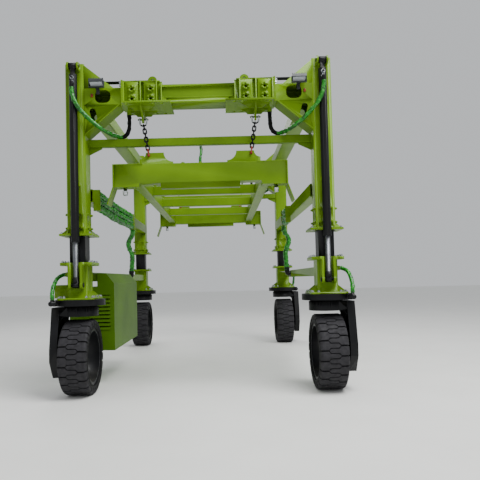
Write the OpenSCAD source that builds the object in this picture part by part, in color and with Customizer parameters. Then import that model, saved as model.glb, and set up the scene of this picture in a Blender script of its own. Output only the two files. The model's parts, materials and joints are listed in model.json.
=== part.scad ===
// Straddle carrier for one 20 ft container: four telescopic masts on steered wheels, a portal frame
// and a chained spreader. Millimetres.
// The origin is on the ground in the middle, +X is to the right, the front portal is at -Y, +Z is up.

/* [Overall] */
// Distance between the front and rear portals, which is also the wheelbase
wheelbase = 5853; // [5400:1:6400]
// Distance between the left and right leg centres
track = 3650; // [3560:10:3900]

/* [Wheels] */
// Outer diameter of a tyre
tyre_d = 1100; // [1060:10:1140]
// Width of a tyre
tyre_w = 410; // [380:5:430]
// Diameter of the rim where the tyre beads sit
rim_d = 780; // [740:10:800]
// Sheet thickness of the rim
rim_t = 14; // [10:1:20]
// Diameter of the wheel spindle
spindle_d = 120; // [90:5:150]
// Diameter of the hub motor
motor_d = 300; // [260:10:340]

/* [Knuckles] */
// Space between the top of the tyre and the knuckle's boxed top
fork_gap = 55; // [45:5:80]
// Height of the knuckle's boxed top
fork_top_t = 135; // [110:5:150]
// Space between the tyre's outer side and the knuckle's side plate
fork_side_gap = 50; // [40:5:70]
// Thickness of the knuckle's hollow side plate
fork_side_t = 110; // [90:5:130]
// Sheet thickness of the knuckle
fork_sheet = 20; // [15:1:30]
// Diameter of the slewing housing
slew_d = 720; // [700:10:740]
// Height of the slewing housing
slew_h = 90; // [70:5:110]
// Diameter of the turning boss inside the slewing housing
turret_d = 480; // [440:10:520]

/* [Masts] */
// Width of an outer mast
mast_w = 285; // [275:5:300]
// Depth of an outer mast
mast_d = 320; // [300:5:340]
// Sheet thickness of an outer mast
mast_wall = 12; // [8:1:16]
// Corner radius of an outer mast
mast_corner = 30; // [22:1:40]
// Height of an outer mast's lower end above the ground
mast_bottom = 2330; // [2300:10:2400]
// Height of an outer mast's upper end above the ground
mast_top = 4880; // [4840:10:4940]
// Thickness of a guide pad
pad_t = 15; // [10:1:20]
// Height of a guide pad ring
pad_h = 160; // [120:10:200]
// Sheet thickness of an inner mast
inner_wall = 10; // [8:1:14]
// Height of an inner mast's upper end above the ground
inner_top = 4430; // [4300:10:4460]
// Thickness of the sockets' base plates
base_t = 25; // [20:1:35]
// Height of a socket above its base plate
socket_h = 515; // [480:5:540]
// Thickness of a socket's top flange
socket_flange_t = 45; // [30:5:60]
// Wall of a socket
socket_wall = 34; // [25:1:40]

/* [Lift cylinders] */
// Outer diameter of a barrel
barrel_d = 116; // [110:2:122]
// Bore of a barrel
barrel_bore = 96; // [92:1:100]
// Rod diameter
rod_d = 76; // [70:1:80]
// Height of a barrel's lower end above the ground
barrel_bottom = 2235; // [2200:5:2280]
// Height of a barrel's upper end above the ground
barrel_top = 4690; // [4650:10:4720]
// Distance from a mast's face to its cylinder's centre
barrel_out = 75; // [72:1:90]
// Height of a rod eye's pin above the ground
rod_pin_z = 1610; // [1590:5:1640]
// Diameter of the cylinder pins
cyl_pin_d = 45; // [35:1:55]

/* [Portal frame] */
// Height of a crossbeam's lower face above the ground
beam_z = 4260; // [4220:10:4300]
// Height of the middle part of a crossbeam
beam_h = 280; // [250:5:300]
// Height of the end blocks of a crossbeam
block_h = 350; // [320:5:380]
// Distance from the middle to the inner end of an end block
block_x0 = 535; // [520:5:560]
// Distance from the middle to the bolted joint between crossbeam and mast
joint_x = 1115; // [1080:5:1150]
// Height of the stub that joins a mast to the crossbeam
stub_h = 250; // [230:5:270]
// Sheet thickness of the portal's beams
beam_wall = 12; // [8:1:16]
// Width of a top side beam
side_w = 260; // [220:10:280]
// Height of a top side beam
side_h = 225; // [200:5:245]
// Width of a middle side beam
mid_w = 180; // [150:10:200]
// Height of a middle side beam
mid_h = 200; // [180:10:240]
// Height of a middle side beam's lower face above the ground
mid_z = 2870; // [2800:10:2950]
// Side of a cross tie
tie_h = 120; // [100:5:140]
// Distance from a crossbeam's lower face down to a cross tie's lower face
tie_drop = 570; // [520:10:620]
// Depth of a cross tie
tie_d = 85; // [70:5:85]

/* [Lower side frames] */
// Width of a lower side beam
lower_w = 190; // [160:5:200]
// Height of a lower side beam
lower_h = 140; // [120:5:160]
// Height of a lower side beam's lower face above the ground
lower_z = 1660; // [1620:5:1700]

/* [Power pack] */
// Length of the power pack
pack_l = 2200; // [1800:50:2600]
// Distance from the front axle to the power pack
pack_gap = 650; // [620:10:900]
// Height of the power pack's floor above the ground
pack_z = 550; // [500:10:640]
// Height of the power pack's inner part above the ground
pack_top = 1790; // [1760:5:1800]
// Height of the power pack's outer part above the ground
pack_low_top = 1570; // [1500:10:1600]
// Distance from the machine's middle to the power pack's inner face
pack_in_x = 1460; // [1440:5:1500]
// Distance from the machine's middle to the power pack's outer face
pack_out_x = 2180; // [2100:5:2180]
// Sheet thickness of the power pack
pack_sheet = 6; // [4:1:10]
// Number of louvres on its front
louvres = 9; // [6:1:12]

/* [Spreader and chains] */
// Spacing of the twistlocks across the container
lock_x = 2259; // [2249:1:2269]
// Height of the spreader's end beams at their ends
spreader_h = 340; // [320:5:360]
// Half width of the spreader
spreader_x = 1280; // [1260:5:1300]
// Depth of a spreader end beam
spreader_d = 200; // [180:10:240]
// Sheet thickness of the spreader
spreader_wall = 10; // [8:1:14]
// Thickness of the chain lugs
lug_t = 30; // [24:1:36]
// Distance from the middle to the upper chain pins
chain_x = 842; // [830:2:850]
// Distance from a crossbeam's lower face down to the upper chain pins
chain_drop = 190; // [185:5:210]
// Distance from the middle to the lower chain pins
hook_x = 765; // [745:5:775]
// Distance from the upper chain pins down to the lower ones
chain_hang = 550; // [545:5:560]
// Height of the lower chain pins above the spreader's upper face
hook_up = 140; // [130:5:145]
// Bar diameter of a chain link
link_w = 20; // [16:1:22]
// Inner length of a chain link
link_l = 64; // [62:1:66]
// Inner width of a chain link
link_in = 28; // [26:1:32]

/* [Hoses] */
// Outer diameter of a wrapped hose
hose_d = 60; // [46:2:62]
// Outer diameter of the wrapped bundles along the middle side beams
bundle_d = 96; // [80:2:100]
// Outer diameter of the pipes on the crossbeams
pipe_d = 46; // [36:2:50]

/* [Hidden] */
$fn = 48;
CORNERS = [["fl", -1, -1], ["fr", 1, -1], ["rl", -1, 1], ["rr", 1, 1]]; // name, side along X, side along Y

// Clearances
run_gap = 0.1;
seat_gap = 0.3;
slide_gap = 0.5;

// Places of the legs
leg_x = track / 2;
leg_y = wheelbase / 2;

// Heights from the wheels up to the sockets
axle_z = tyre_d / 2;
fork_z = tyre_d + fork_gap;
fork_top = fork_z + fork_top_t;
slew_z = fork_top + 20;
base_z = slew_z + slew_h;
socket_z = base_z + base_t;
socket_top = socket_z + socket_h;

// Inner masts slide in the outer ones on the pads
inner_w = mast_w - 2 * (mast_wall + pad_t);
inner_d = mast_d - 2 * (mast_wall + pad_t);
inner_corner = max(mast_corner - mast_wall - pad_t, 5);
socket_w = inner_w + 2 * socket_wall + 2 * seat_gap;
socket_d = inner_d + 2 * socket_wall + 2 * seat_gap;
valve_out = 210;
valve_h = 180;

// Knuckle
side_x0 = tyre_w / 2 + fork_side_gap;
side_x1 = side_x0 + fork_side_t;
motor_x0 = 154;
worm_d = 110;
worm_x = side_x1 - worm_d / 2;

// Cylinders stand outside the masts, on the side away from the machine's middle
cyl_y = mast_d / 2 + barrel_out;
ear_t = 25;
ear_gap = 120;
top_pin_z = mast_top - 60;
piston_z = barrel_top - 465;
fitting_d = 30;
fitting_z = barrel_top - 130;
fitting_step = 70;
port_y = barrel_d / 2 + hose_d / 2 + 2;
elbow_z = fitting_z - 78;

// Stubs and blocks
flange_t = 25;
haunch_drop = 430;
haunch_x = 1170;
gusset_x = 1250;
splice_t = 25;
splice_d = 610;
splice_x0 = 400;
splice_holes = [130, 255, 650];
web_in = 40;
rib_x = 846;
ring_x = [704, 982];
ring_z = [77, 224];
ring_d = 118;
ring_hole = 44;
splice_hole = 48;
panel_w = 196;
gland_x = 1075;
gland_y = -140;
gland_z = beam_z - splice_t - 50;
eye_x = 690;
eye_z = beam_z + block_h + 42;
eye_r = 70;
eye_bore = 60;
hand_hole_x = 1412;

// Chains, from the crossbeam down to the spreader
chain_z = beam_z - chain_drop;
hook_z = chain_z - chain_hang;
spreader_top = hook_z - hook_up;
spreader_z = spreader_top - spreader_h;
tie_z = beam_z - tie_drop;
rail_x = 980;
rail_w = 160;
rail_h = 220;
rail_up = 20;
rung_w = 120;
rung_h = 160;
rung_y = round(wheelbase / 4);
lug_in = 405;
lug_out = 905;
lug_h = 185;
guide_drop = 253;
bow_r = 50;
bow_w = 24;
bow_drop = 45;
bow_z = chain_z - bow_drop;
shackle_pin_d = 28;
hook_w = 22;
hook_r = 36;
links = 6;
lean = atan2(chain_x - hook_x, bow_z - hook_z);
chain_l = norm([chain_x - hook_x, bow_z - hook_z]);
first_link = bow_r - bow_w / 2 - seat_gap + link_l / 2;
link_step = link_l - seat_gap;
last_link = first_link + (links - 1) * link_step;
hook_crown = last_link + link_l / 2 - seat_gap - hook_w / 2;
swing_z = bow_z - (last_link + link_l / 2 - seat_gap / 2) * cos(lean);
lock_d = 56;

// Work lamps
lamp_x = 1480;
lamp_z = beam_z + stub_h + 55;
lamp_tilt = 25;

// Hoses: the points between their ends, and the bundles along the middle side beams
UPPER_ROUTE = [[1795, 3246, 4300], [1735, 3212, 4180], [1640, 3165, 4075], [1545, 3140, 3985],
    [1450, 3090, 3915], [1360, 3000, 3865],
    [1270, 2885, 3848], [1190, 2812, 3846], [1120, 2790, 3885], [1085, 2787, 3960], [1076, 2787, 4060]];
SLEW_ROUTE = [[245, 52, 1764], [285, 95, 1738], [308, 160, 1690], [318, 230, 1625], [320, 295, 1555],
    [316, 338, 1490]];
DROP_ROUTE = [[1606, 436, 2670], [1630, 460, 2610], [1690, 485, 2520], [1715, 500, 2420], [1680, 500, 2310],
    [1640, 500, 2190],
    [1640, 500, 2060], [1650, 500, 1930], [1660, 500, 1820]];
SPREADER_ROUTE = [[0, 0, 0], [0, 0, 20], [0, 2, 60], [12, 18, 130], [16, 38, 190], [8, 58, 250]];
bundle_x = leg_x - mast_w / 2 - 30 - seat_gap - bundle_d / 2;
bundle_z = mid_z + mid_h - 70;
bundle_step = bundle_d + 8;
bundle_steps = 8;
bundle_sag = 6;
bundle_y1 = 300;
drop_y = 430;
drop_z = bundle_z - 2 * bundle_step - bundle_d / 2 - 6;

LIME = "yellowgreen";
FILM = "seagreen";
BLACK = "#202224";
STEEL = "#9a9ca0";

// Shared forms

module rounded(w, d, r) {
    square([w - 2 * r, d], center = true);
    square([w, d - 2 * r], center = true);
    for (x = [-1, 1], y = [-1, 1]) translate([x * (w / 2 - r), y * (d / 2 - r)]) circle(r);
}

module box_tube(w, d, wall, r, h) {
    linear_extrude(h) difference() {
        rounded(w, d, r);
        rounded(w - 2 * wall, d - 2 * wall, max(r - wall, 2));
    }
}

// Extrudes an outline drawn in Y and Z along X
module along_x(x0, x1) translate([x0, 0, 0]) rotate([90, 0, 90]) linear_extrude(x1 - x0) children();

// Extrudes an outline drawn in X and Z along Y
module along_y(y0, y1) translate([0, y1, 0]) rotate([90, 0, 0]) linear_extrude(y1 - y0) children();

module rod_x(x0, x1, d) translate([x0, 0, 0]) rotate([0, 90, 0]) cylinder(d = d, h = x1 - x0);

module rod_y(y0, y1, d) translate([0, y1, 0]) rotate([90, 0, 0]) cylinder(d = d, h = y1 - y0);

// Mirrors a form made at the right rear corner to any corner
module at_side(x_side, y_side) mirror([x_side < 0 ? 1 : 0, 0, 0]) mirror([0, y_side < 0 ? 1 : 0, 0])
    children();

module at_leg(x_side, y_side) at_side(x_side, y_side) translate([leg_x, leg_y, 0]) children();

// Wheels

module tyre() color(BLACK) {
    r = tyre_d / 2;
    b = rim_d / 2;
    w = tyre_w / 2;
    bead = w - 40;
    rotate([0, 90, 0]) rotate_extrude() difference() {
        union() {
            polygon([[b, -bead], [b + 31, -bead], [r - 95, -w], [r - 40, -w + 4], [r - 40, w - 4],
                [r - 95, w], [b + 31, bead], [b, bead]]);
            translate([r - 41, -w + 34]) square([41, tyre_w - 68]);
            for (s = [-1, 1]) translate([r - 34, s * (w - 38)]) circle(34);
        }
        polygon([[b - 1, -bead + 40], [b + 40, -bead + 28], [r - 95, -w + 30], [r - 55, -w + 60],
            [r - 55, w - 60],
            [r - 95, w - 30], [b + 40, bead - 28], [b - 1, bead - 40]]);
    }
}

module rim() color("#3c3e40") {
    b = rim_d / 2;
    w = tyre_w / 2 - 40;
    rotate([0, 90, 0]) difference() {
        rotate_extrude() {
            translate([b - rim_t, -w]) square([rim_t, 2 * w]);
            for (s = [-1, 1]) translate([b - rim_t, s > 0 ? w + seat_gap : -w - seat_gap - 18])
                square([rim_t + 28, 18]);
            for (s = [-1, 1]) translate([b - rim_t, s > 0 ? w - 1 : -w - 1 - seat_gap])
                square([rim_t, 2 + seat_gap]);
            polygon([[spindle_d / 2 + 30, 70], [spindle_d / 2 + 70, 96], [b - 90, 96], [b - rim_t + 1, 40],
                [b - rim_t + 1, 58], [b - 84, 114], [spindle_d / 2 + 30, 114]]);
            translate([0, 62]) square([spindle_d / 2 + 34, 86]);
        }
        cylinder(d = spindle_d + 2 * run_gap, h = 800, center = true);
    }
}

// Knuckles

// Side view of the knuckle's plate, drawn in Y and Z and shrunk by an inset
function knuckle_outline(i) = [
    [-220 + i, fork_top - i], [-350 + i, axle_z + 150], [-350 + i, axle_z - 30],
    [-200 + i * 0.8, axle_z - 270 + i],
    [200 - i * 0.8, axle_z - 270 + i], [350 - i, axle_z - 30], [350 - i, axle_z + 150],
    [220 - i, fork_top - i]
];

module knuckle() color(BLACK) {
    difference() {
        along_x(side_x0, side_x1) polygon(knuckle_outline(0));
        along_x(side_x0 - 1, side_x1 - fork_sheet) polygon(knuckle_outline(fork_sheet));
    }
    difference() {
        translate([0, 0, fork_z]) linear_extrude(fork_top_t) {
            circle(d = turret_d + 2 * fork_sheet);
            translate([0, -220]) square([side_x0 + 1, 440]);
        }
        translate([0, 0, fork_z + fork_sheet]) linear_extrude(fork_top_t - 3 * fork_sheet) {
            circle(d = turret_d);
            translate([0, -220 + fork_sheet]) square([side_x0 - fork_sheet, 440 - 2 * fork_sheet]);
        }
    }
    translate([0, 0, fork_top - 1]) cylinder(d = turret_d, h = base_z - seat_gap - fork_top + 1);
    for (y = [-200, 200 - fork_sheet]) translate([0, y + fork_sheet, 0]) rotate([90, 0, 0])
        linear_extrude(fork_sheet)
            polygon([[side_x0 + 1, fork_z + 1], [side_x0 + 1, fork_z - 90], [side_x0 - 30, fork_z - 20],
                [side_x0 - 120, fork_z + 1]]);
    translate([0, 0, axle_z]) {
        rod_x(motor_x0, side_x1 - 1, motor_d);
        rod_x(62 - seat_gap - 24, motor_x0 + 1, spindle_d);
        rod_x(62 - seat_gap - 24, 62 - seat_gap, spindle_d + 50);
    }
}

module slew_drive() color(BLACK) translate([0, 0, slew_z]) difference() {
    union() {
        cylinder(d = slew_d, h = slew_h);
        translate([worm_x, 0, slew_h / 2]) rod_y(-250, 250, min(worm_d, slew_h));
        translate([worm_x, 0, slew_h / 2]) rod_y(249, 275, 84);
        translate([worm_x, 0, slew_h / 2]) rod_y(274, 420, 72);
        translate([worm_x, 0, slew_h / 2]) rod_y(-270, -249, 60);
        translate([worm_x - 20, 330, slew_h / 2 + 30]) cube([40, 50, 24]);
    }
    translate([0, 0, -1]) cylinder(d = turret_d + 2 * run_gap, h = slew_h + 2);
}

// Lower frames with the sockets

module socket() {
    reach = cyl_y + 45;
    translate([0, 0, base_z]) linear_extrude(base_t) rounded(540, 640, 60);
    translate([0, 0, socket_z - 1]) linear_extrude(socket_h + 1) difference() {
        rounded(socket_w, socket_d, mast_corner);
        rounded(inner_w + 2 * seat_gap, inner_d + 2 * seat_gap, inner_corner);
    }
    translate([0, 0, socket_top - socket_flange_t]) linear_extrude(socket_flange_t) difference() {
        union() {
            rounded(465, 480, 15);
            translate([-130, 0]) square([260, reach]);
        }
        rounded(socket_w - 4, socket_d - 4, mast_corner);
        translate([-80, socket_d / 2]) square([160, 400]);
    }
    difference() {
        for (s = [-1, 1]) along_x(s * 85 - 17, s * 85 + 17) {
            translate([socket_d / 2 - 2, rod_pin_z])
                square([reach - socket_d / 2 + 2, socket_top - rod_pin_z - 1]);
            translate([socket_d / 2 - 2, rod_pin_z - 55]) square([cyl_y - socket_d / 2 + 2, 56]);
            translate([cyl_y, rod_pin_z]) circle(55);
        }
        translate([0, cyl_y, rod_pin_z]) rod_x(-200, 200, cyl_pin_d + 2 * run_gap);
    }
    translate([0, 40, 1770]) rod_x(socket_w / 2 - 2, socket_w / 2 + 50, hose_d + 10);
    for (s = [-1, 1]) translate([s * (socket_w / 2 - 2), 0, socket_z - 1]) mirror([s < 0 ? 1 : 0, 0, 0])
        for (y = [-110, 110 - 16]) along_y(y, y + 16) polygon([[0, 0], [118, 0], [118, 14], [0, 110]]);
}

module valve_box() at_leg(-1, -1) translate([socket_w / 2 - 1, -175, socket_z - 1]) {
    cube([valve_out - 12, 300, valve_h]);
    translate([0, -8, valve_h - 1]) cube([valve_out, 316, 14]);
}

module lower_frame(x_side) color(LIME) {
    for (y_side = [-1, 1]) at_leg(x_side, y_side) socket();
    if (x_side < 0) valve_box();
    run = leg_y - socket_d / 2 + 2;
    translate([x_side * leg_x, 0, 0]) difference() {
        along_y(-run, run) translate([0, lower_z + lower_h / 2]) square([lower_w, lower_h], center = true);
        along_y(-run + 20, run - 20) translate([0, lower_z + lower_h / 2])
            square([lower_w - 2 * beam_wall, lower_h - 2 * beam_wall], center = true);
    }
}

module inner_masts(x_side) color(BLACK) for (y_side = [-1, 1]) at_leg(x_side, y_side)
    translate([0, 0, socket_z]) box_tube(inner_w, inner_d, inner_wall, inner_corner, inner_top - socket_z);

module lift_rods(x_side) color(STEEL) for (y_side = [-1, 1]) at_leg(x_side, y_side) translate([0, cyl_y, 0]) {
    translate([0, 0, rod_pin_z + 30]) cylinder(d = rod_d, h = piston_z - rod_pin_z - 30);
    translate([0, 0, piston_z - 90]) cylinder(d = barrel_bore - 2 * run_gap, h = 90);
    translate([0, 0, rod_pin_z]) {
        rod_x(-40, 40, 90);
        rod_x(-115, 115, cyl_pin_d);
        for (s = [-1, 1]) rod_x(s > 0 ? 102 + seat_gap : -115, s > 0 ? 115 : -102 - seat_gap, cyl_pin_d + 20);
    }
    translate([0, 0, rod_pin_z + 30]) cylinder(d = 92, h = 86);
}

module slew_drives(x_side) for (y_side = [-1, 1]) at_leg(x_side, y_side) slew_drive();

// Power pack on the left lower frame

// Cross section of the power pack, drawn in X and Z for the right side and shrunk by an inset
module pack_section(i) {
    cx0 = leg_x - lower_w / 2 - seat_gap - i;
    polygon([[pack_in_x + i, pack_z + i], [pack_out_x - i, pack_z + i],
        [pack_out_x - i, pack_low_top - 60 - i * 0.4],
        [pack_out_x - 60 - i * 0.4, pack_low_top - i], [cx0, pack_low_top - i], [cx0, pack_top - i],
        [pack_in_x + 130 + i * 0.3, pack_top - i], [pack_in_x + i, pack_top - 170 - i * 0.3]]);
}

module power_pack() color(LIME) mirror([1, 0, 0]) {
    y0 = -leg_y + pack_gap;
    y1 = y0 + pack_l;
    vent_x0 = pack_in_x + 70;
    vent_w = 330;
    vent_z = pack_z + 330;
    vent_h = 560;
    difference() {
        along_y(y0, y1) pack_section(0);
        along_y(y0 + pack_sheet, y1 - pack_sheet) pack_section(pack_sheet);
        translate([vent_x0, y0 - 1, vent_z]) cube([vent_w, pack_sheet + 2, vent_h]);
    }
    step = vent_h / louvres;
    for (k = [0 : louvres - 1]) translate([vent_x0 - 1, y0, vent_z + k * step]) rotate([90, 0, 90])
        linear_extrude(vent_w + 2) polygon([[-14, 4], [-10, 1], [pack_sheet, step * 0.72],
            [pack_sheet, step * 0.72 + 4]]);
    for (y = [y0 + 250, y1 - 250]) for (s = [-1, 1])
        translate([leg_x + s * (lower_w / 2 + 8 + seat_gap) - 8, y - 40, pack_low_top - 1])
            cube([16, 80, lower_z + 60 - pack_low_top]);
}

module engine() color("dimgray") mirror([1, 0, 0])
    translate([pack_in_x + 110, -leg_y + pack_gap + 800, pack_z + pack_sheet]) cube([480, 900, 640]);

// Masts

module mast_fins() for (s = [-1, 1]) {
    for (x = [-mast_w / 2 + 10, mast_w / 2 - 26])
        along_x(x, x + 16) translate([0, mast_bottom])
            polygon([[s * (mast_d / 2 - 2), 28], [s * 236, 28], [s * (mast_d / 2 - 2), 105]]);
    for (y = [-mast_d / 2 + 10, mast_d / 2 - 26])
        along_y(y, y + 16) translate([0, mast_bottom])
            polygon([[s * (mast_w / 2 - 2), 28], [s * 236, 28], [s * (mast_w / 2 - 2), 105]]);
}

module mast_ears() difference() {
    for (s = [-1, 1]) along_x(s * (ear_gap + ear_t) / 2 - ear_t / 2, s * (ear_gap + ear_t) / 2 + ear_t / 2) {
        translate([mast_d / 2 - 2, top_pin_z - 60]) square([cyl_y - mast_d / 2 + 2, 120]);
        translate([cyl_y, top_pin_z]) circle(60);
    }
    translate([0, cyl_y, top_pin_z]) rod_x(-200, 200, cyl_pin_d + 2 * run_gap);
}

module mast_body() {
    tube_h = mast_top - mast_bottom;
    translate([0, 0, mast_bottom]) box_tube(mast_w, mast_d, mast_wall, mast_corner, tube_h);
    translate([0, 0, mast_top - mast_wall]) linear_extrude(mast_wall) rounded(mast_w, mast_d, mast_corner);
    translate([0, 0, mast_bottom]) linear_extrude(30) difference() {
        rounded(480, 480, 12);
        rounded(mast_w - 2 * mast_wall, mast_d - 2 * mast_wall, mast_corner - mast_wall);
        translate([0, cyl_y]) circle(d = barrel_d + 12);
        translate([-barrel_d / 2 - 6, cyl_y]) square([barrel_d + 12, 200]);
    }
    mast_fins();
    mast_ears();
    for (z = [mast_bottom + 120, mast_bottom + 320]) {
        for (x = [-85, 85]) for (s = [-1, 1]) translate([x, s * (mast_d / 2 + 6), z]) rod_y(-8, 8, 44);
        for (y = [-90, 90]) for (s = [-1, 1]) translate([s * (mast_w / 2 + 6), y, z]) rod_x(-8, 8, 44);
    }
    for (z = [mast_bottom + 720, beam_z - 80]) difference() {
        translate([-barrel_d / 2 - 12, mast_d / 2 - 2, z]) cube([barrel_d + 24, barrel_out + 2, 50]);
        translate([0, cyl_y, z - 1]) cylinder(d = barrel_d + 2 * seat_gap, h = 52);
    }
}

// The stub, haunch and gusset on a mast's inner side, up to the bolted joint
module mast_stub() {
    x0 = joint_x - leg_x;
    x1 = -mast_w / 2 + 2;
    difference() {
        along_y(-mast_d / 2, mast_d / 2) translate([x0, beam_z]) square([x1 - x0, stub_h]);
        along_y(-mast_d / 2 + beam_wall, mast_d / 2 - beam_wall)
            translate([x0 + flange_t, beam_z + beam_wall])
            square([x1 - x0 - flange_t, stub_h - 2 * beam_wall]);
        along_y(-mast_d, mast_d) translate([hand_hole_x - leg_x, beam_z + stub_h / 2]) rounded(230, 190, 80);
    }
    along_y(-mast_d / 2 - 18, mast_d / 2 + 18) translate([x0, beam_z - 15]) square([flange_t, block_h + 25]);
    for (y = [-mast_d / 2 + 4, mast_d / 2 - 4 - beam_wall]) along_y(y, y + beam_wall) {
        difference() {
            polygon([[haunch_x - leg_x, beam_z + 1], [x1, beam_z + 1], [x1, beam_z - haunch_drop]]);
            translate([x1 - 130, beam_z - 140]) rotate(-14) rounded(90, 190, 42);
        }
        polygon([[gusset_x - leg_x, beam_z + stub_h - 1], [x1, beam_z + stub_h - 1], [x1, mast_top - 20]]);
    }
    along_y(-mast_d / 2, mast_d / 2) polygon([[haunch_x - leg_x - 14, beam_z + 1],
        [haunch_x - leg_x + 14, beam_z + 1],
        [x1, beam_z - haunch_drop + 14], [x1, beam_z - haunch_drop - 14]]);
}

module mast(x_side, y_side) color(LIME) at_leg(x_side, y_side) {
    mast_body();
    mast_stub();
}

module guide_pads() color("tan") for (c = CORNERS) at_leg(c[1], c[2])
    for (z = [mast_bottom + 20, mast_bottom + 260])
    translate([0, 0, z]) linear_extrude(pad_h) difference() {
        rounded(mast_w - 2 * mast_wall, mast_d - 2 * mast_wall, mast_corner - mast_wall);
        rounded(inner_w + 2 * slide_gap, inner_d + 2 * slide_gap, inner_corner + slide_gap);
    }

module lift_cylinders() color(BLACK) for (c = CORNERS) at_leg(c[1], c[2]) translate([0, cyl_y, 0]) {
    difference() {
        translate([0, 0, barrel_bottom]) cylinder(d = barrel_d, h = barrel_top - barrel_bottom);
        translate([0, 0, barrel_bottom + 60]) cylinder(d = barrel_bore, h = barrel_top - barrel_bottom - 110);
        translate([0, 0, barrel_bottom - 1]) cylinder(d = rod_d + 2 * run_gap, h = 100);
    }
    difference() {
        translate([0, 0, top_pin_z]) rod_x(-ear_gap / 2 + seat_gap, ear_gap / 2 - seat_gap, 96);
        translate([0, 0, top_pin_z]) rod_x(-200, 200, cyl_pin_d - 1);
    }
    translate([-30, -30, barrel_top - 1]) cube([60, 60, top_pin_z - barrel_top - 30]);
    translate([0, 0, top_pin_z]) rod_x(-ear_gap / 2 - ear_t - 10, ear_gap / 2 + ear_t + 10, cyl_pin_d);
    for (z = [fitting_z, fitting_z + fitting_step]) translate([0, 0, z])
        rod_y(barrel_bore / 2 + 3, port_y + fitting_d / 2, fitting_d);
    translate([0, port_y, elbow_z]) cylinder(d = hose_d, h = fitting_z - elbow_z);
}

// Portal frame

module crossbeam(y_side) color(LIME) at_side(1, y_side) translate([0, leg_y, 0]) {
    d = mast_d;
    difference() {
        along_x(-block_x0 - 1, block_x0 + 1) {
            translate([-d / 2, beam_z]) square([d, flange_t]);
            translate([-d / 2 + 14, beam_z + 1]) square([d - 28, 100]);
            translate([-d / 2 + web_in, beam_z + 1]) square([d - 2 * web_in, beam_h - 2]);
            translate([-d / 2, beam_z + beam_h - 34]) square([d, 34]);
        }
        along_x(-block_x0, block_x0) translate([-d / 2 + web_in + beam_wall, beam_z + flange_t])
            square([d - 2 * (web_in + beam_wall), beam_h - flange_t - 34]);
        for (x = [-1, 1]) translate([x * (block_x0 - 75), 0, beam_z + 66]) {
            rod_y(-d, -d / 2 + 30, 30);
            rod_y(d / 2 - 30, d, 30);
        }
    }
    for (s = [-1, 1]) mirror([s < 0 ? 1 : 0, 0, 0]) {
        crossbeam_block();
        chain_lug();
        lifting_eye();
    }
}

// Hollow end block between the bolted joint and the middle part, with its clamp panels, ribs and bolt rings
module crossbeam_block() {
    d = mast_d;
    w = joint_x - block_x0;
    difference() {
        translate([block_x0, -d / 2 + web_in, beam_z + 10]) cube([w, d - 2 * web_in, block_h - 20]);
        translate([block_x0 + 20, -d / 2 + web_in + beam_wall, beam_z + 30])
            cube([w - 40, d - 2 * (web_in + beam_wall), block_h - 60]);
    }
    translate([block_x0, -d / 2, beam_z]) cube([w, d, 22]);
    translate([block_x0 + 30, -d / 2, beam_z + block_h - 20]) cube([w - 30, d, 20]);
    for (x = [block_x0, rib_x - 240, rib_x]) translate([x, -d / 2 - 12, beam_z])
        cube([16, d + 24, block_h - (x == block_x0 ? 50 : 0)]);
    translate([joint_x - flange_t, -d / 2 - 16, beam_z]) cube([flange_t, d + 32, block_h]);
    for (x = ring_x) difference() {
        union() {
            translate([x - panel_w / 2, -d / 2, beam_z + 21]) cube([panel_w, d, block_h - 42]);
            for (z = ring_z) translate([x, 0, beam_z + z]) {
                rod_y(-d / 2 - 16, d / 2 + 16, ring_d);
                for (a = [30 : 60 : 330]) translate([ring_d * 0.36 * cos(a), 0, ring_d * 0.36 * sin(a)])
                    rod_y(-d / 2 - 24, d / 2 + 24, 18);
            }
        }
        for (z = ring_z, s = [-1, 1]) translate([x, s * d / 2, beam_z + z]) rod_y(-30, 30, ring_hole);
    }
    difference() {
        translate([splice_x0, -splice_d / 2, beam_z - splice_t])
            cube([joint_x - splice_x0, splice_d, splice_t]);
        for (x = splice_holes, y = [-splice_d / 2 + 60, splice_d / 2 - 60])
            translate([splice_x0 + x, y, beam_z - splice_t - 1]) cylinder(d = splice_hole, h = splice_t + 2);
    }
    translate([gland_x, gland_y, gland_z]) cylinder(d = hose_d + 12, h = beam_z - splice_t + 1 - gland_z);
}

// Lug plate and gussets under a crossbeam, from which a chain hangs
module chain_lug() {
    top = beam_z - splice_t + 1;
    difference() {
        along_x(chain_x - lug_t / 2, chain_x + lug_t / 2) union() {
            polygon([[-230, top], [-230, top - 60], [-52, chain_z + 10], [52, chain_z + 10],
                [230, top - 60], [230, top]]);
            translate([0, chain_z]) circle(52);
        }
        translate([0, 0, chain_z]) rod_x(chain_x - 100, chain_x + 100, shackle_pin_d + 2 * run_gap);
    }
    for (y = [-150, 150]) along_y(y - 8, y + 8) difference() {
        translate([chain_x - 200, top - 75]) square([400, 75]);
        for (s = [-1, 1]) translate([chain_x + s * 230, top - 160]) circle(150);
    }
}

module lifting_eye() difference() {
    along_y(-20, 20) {
        translate([eye_x - eye_r, beam_z + block_h - 12]) square([2 * eye_r, eye_z - beam_z - block_h + 12]);
        translate([eye_x, eye_z]) circle(eye_r);
    }
    translate([eye_x, 0, eye_z]) rod_y(-40, 40, eye_bore);
}

// Pipes that lie on the end blocks and run to the masts
module top_pipes() color(BLACK) for (c = CORNERS) at_side(c[1], c[2])
    translate([0, leg_y, beam_z + block_h + 10 + seat_gap + pipe_d / 2]) {
    rod_x(955, leg_x - mast_w / 2 - seat_gap, pipe_d);
    rod_x(935, 955, pipe_d + 10);
}

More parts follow.
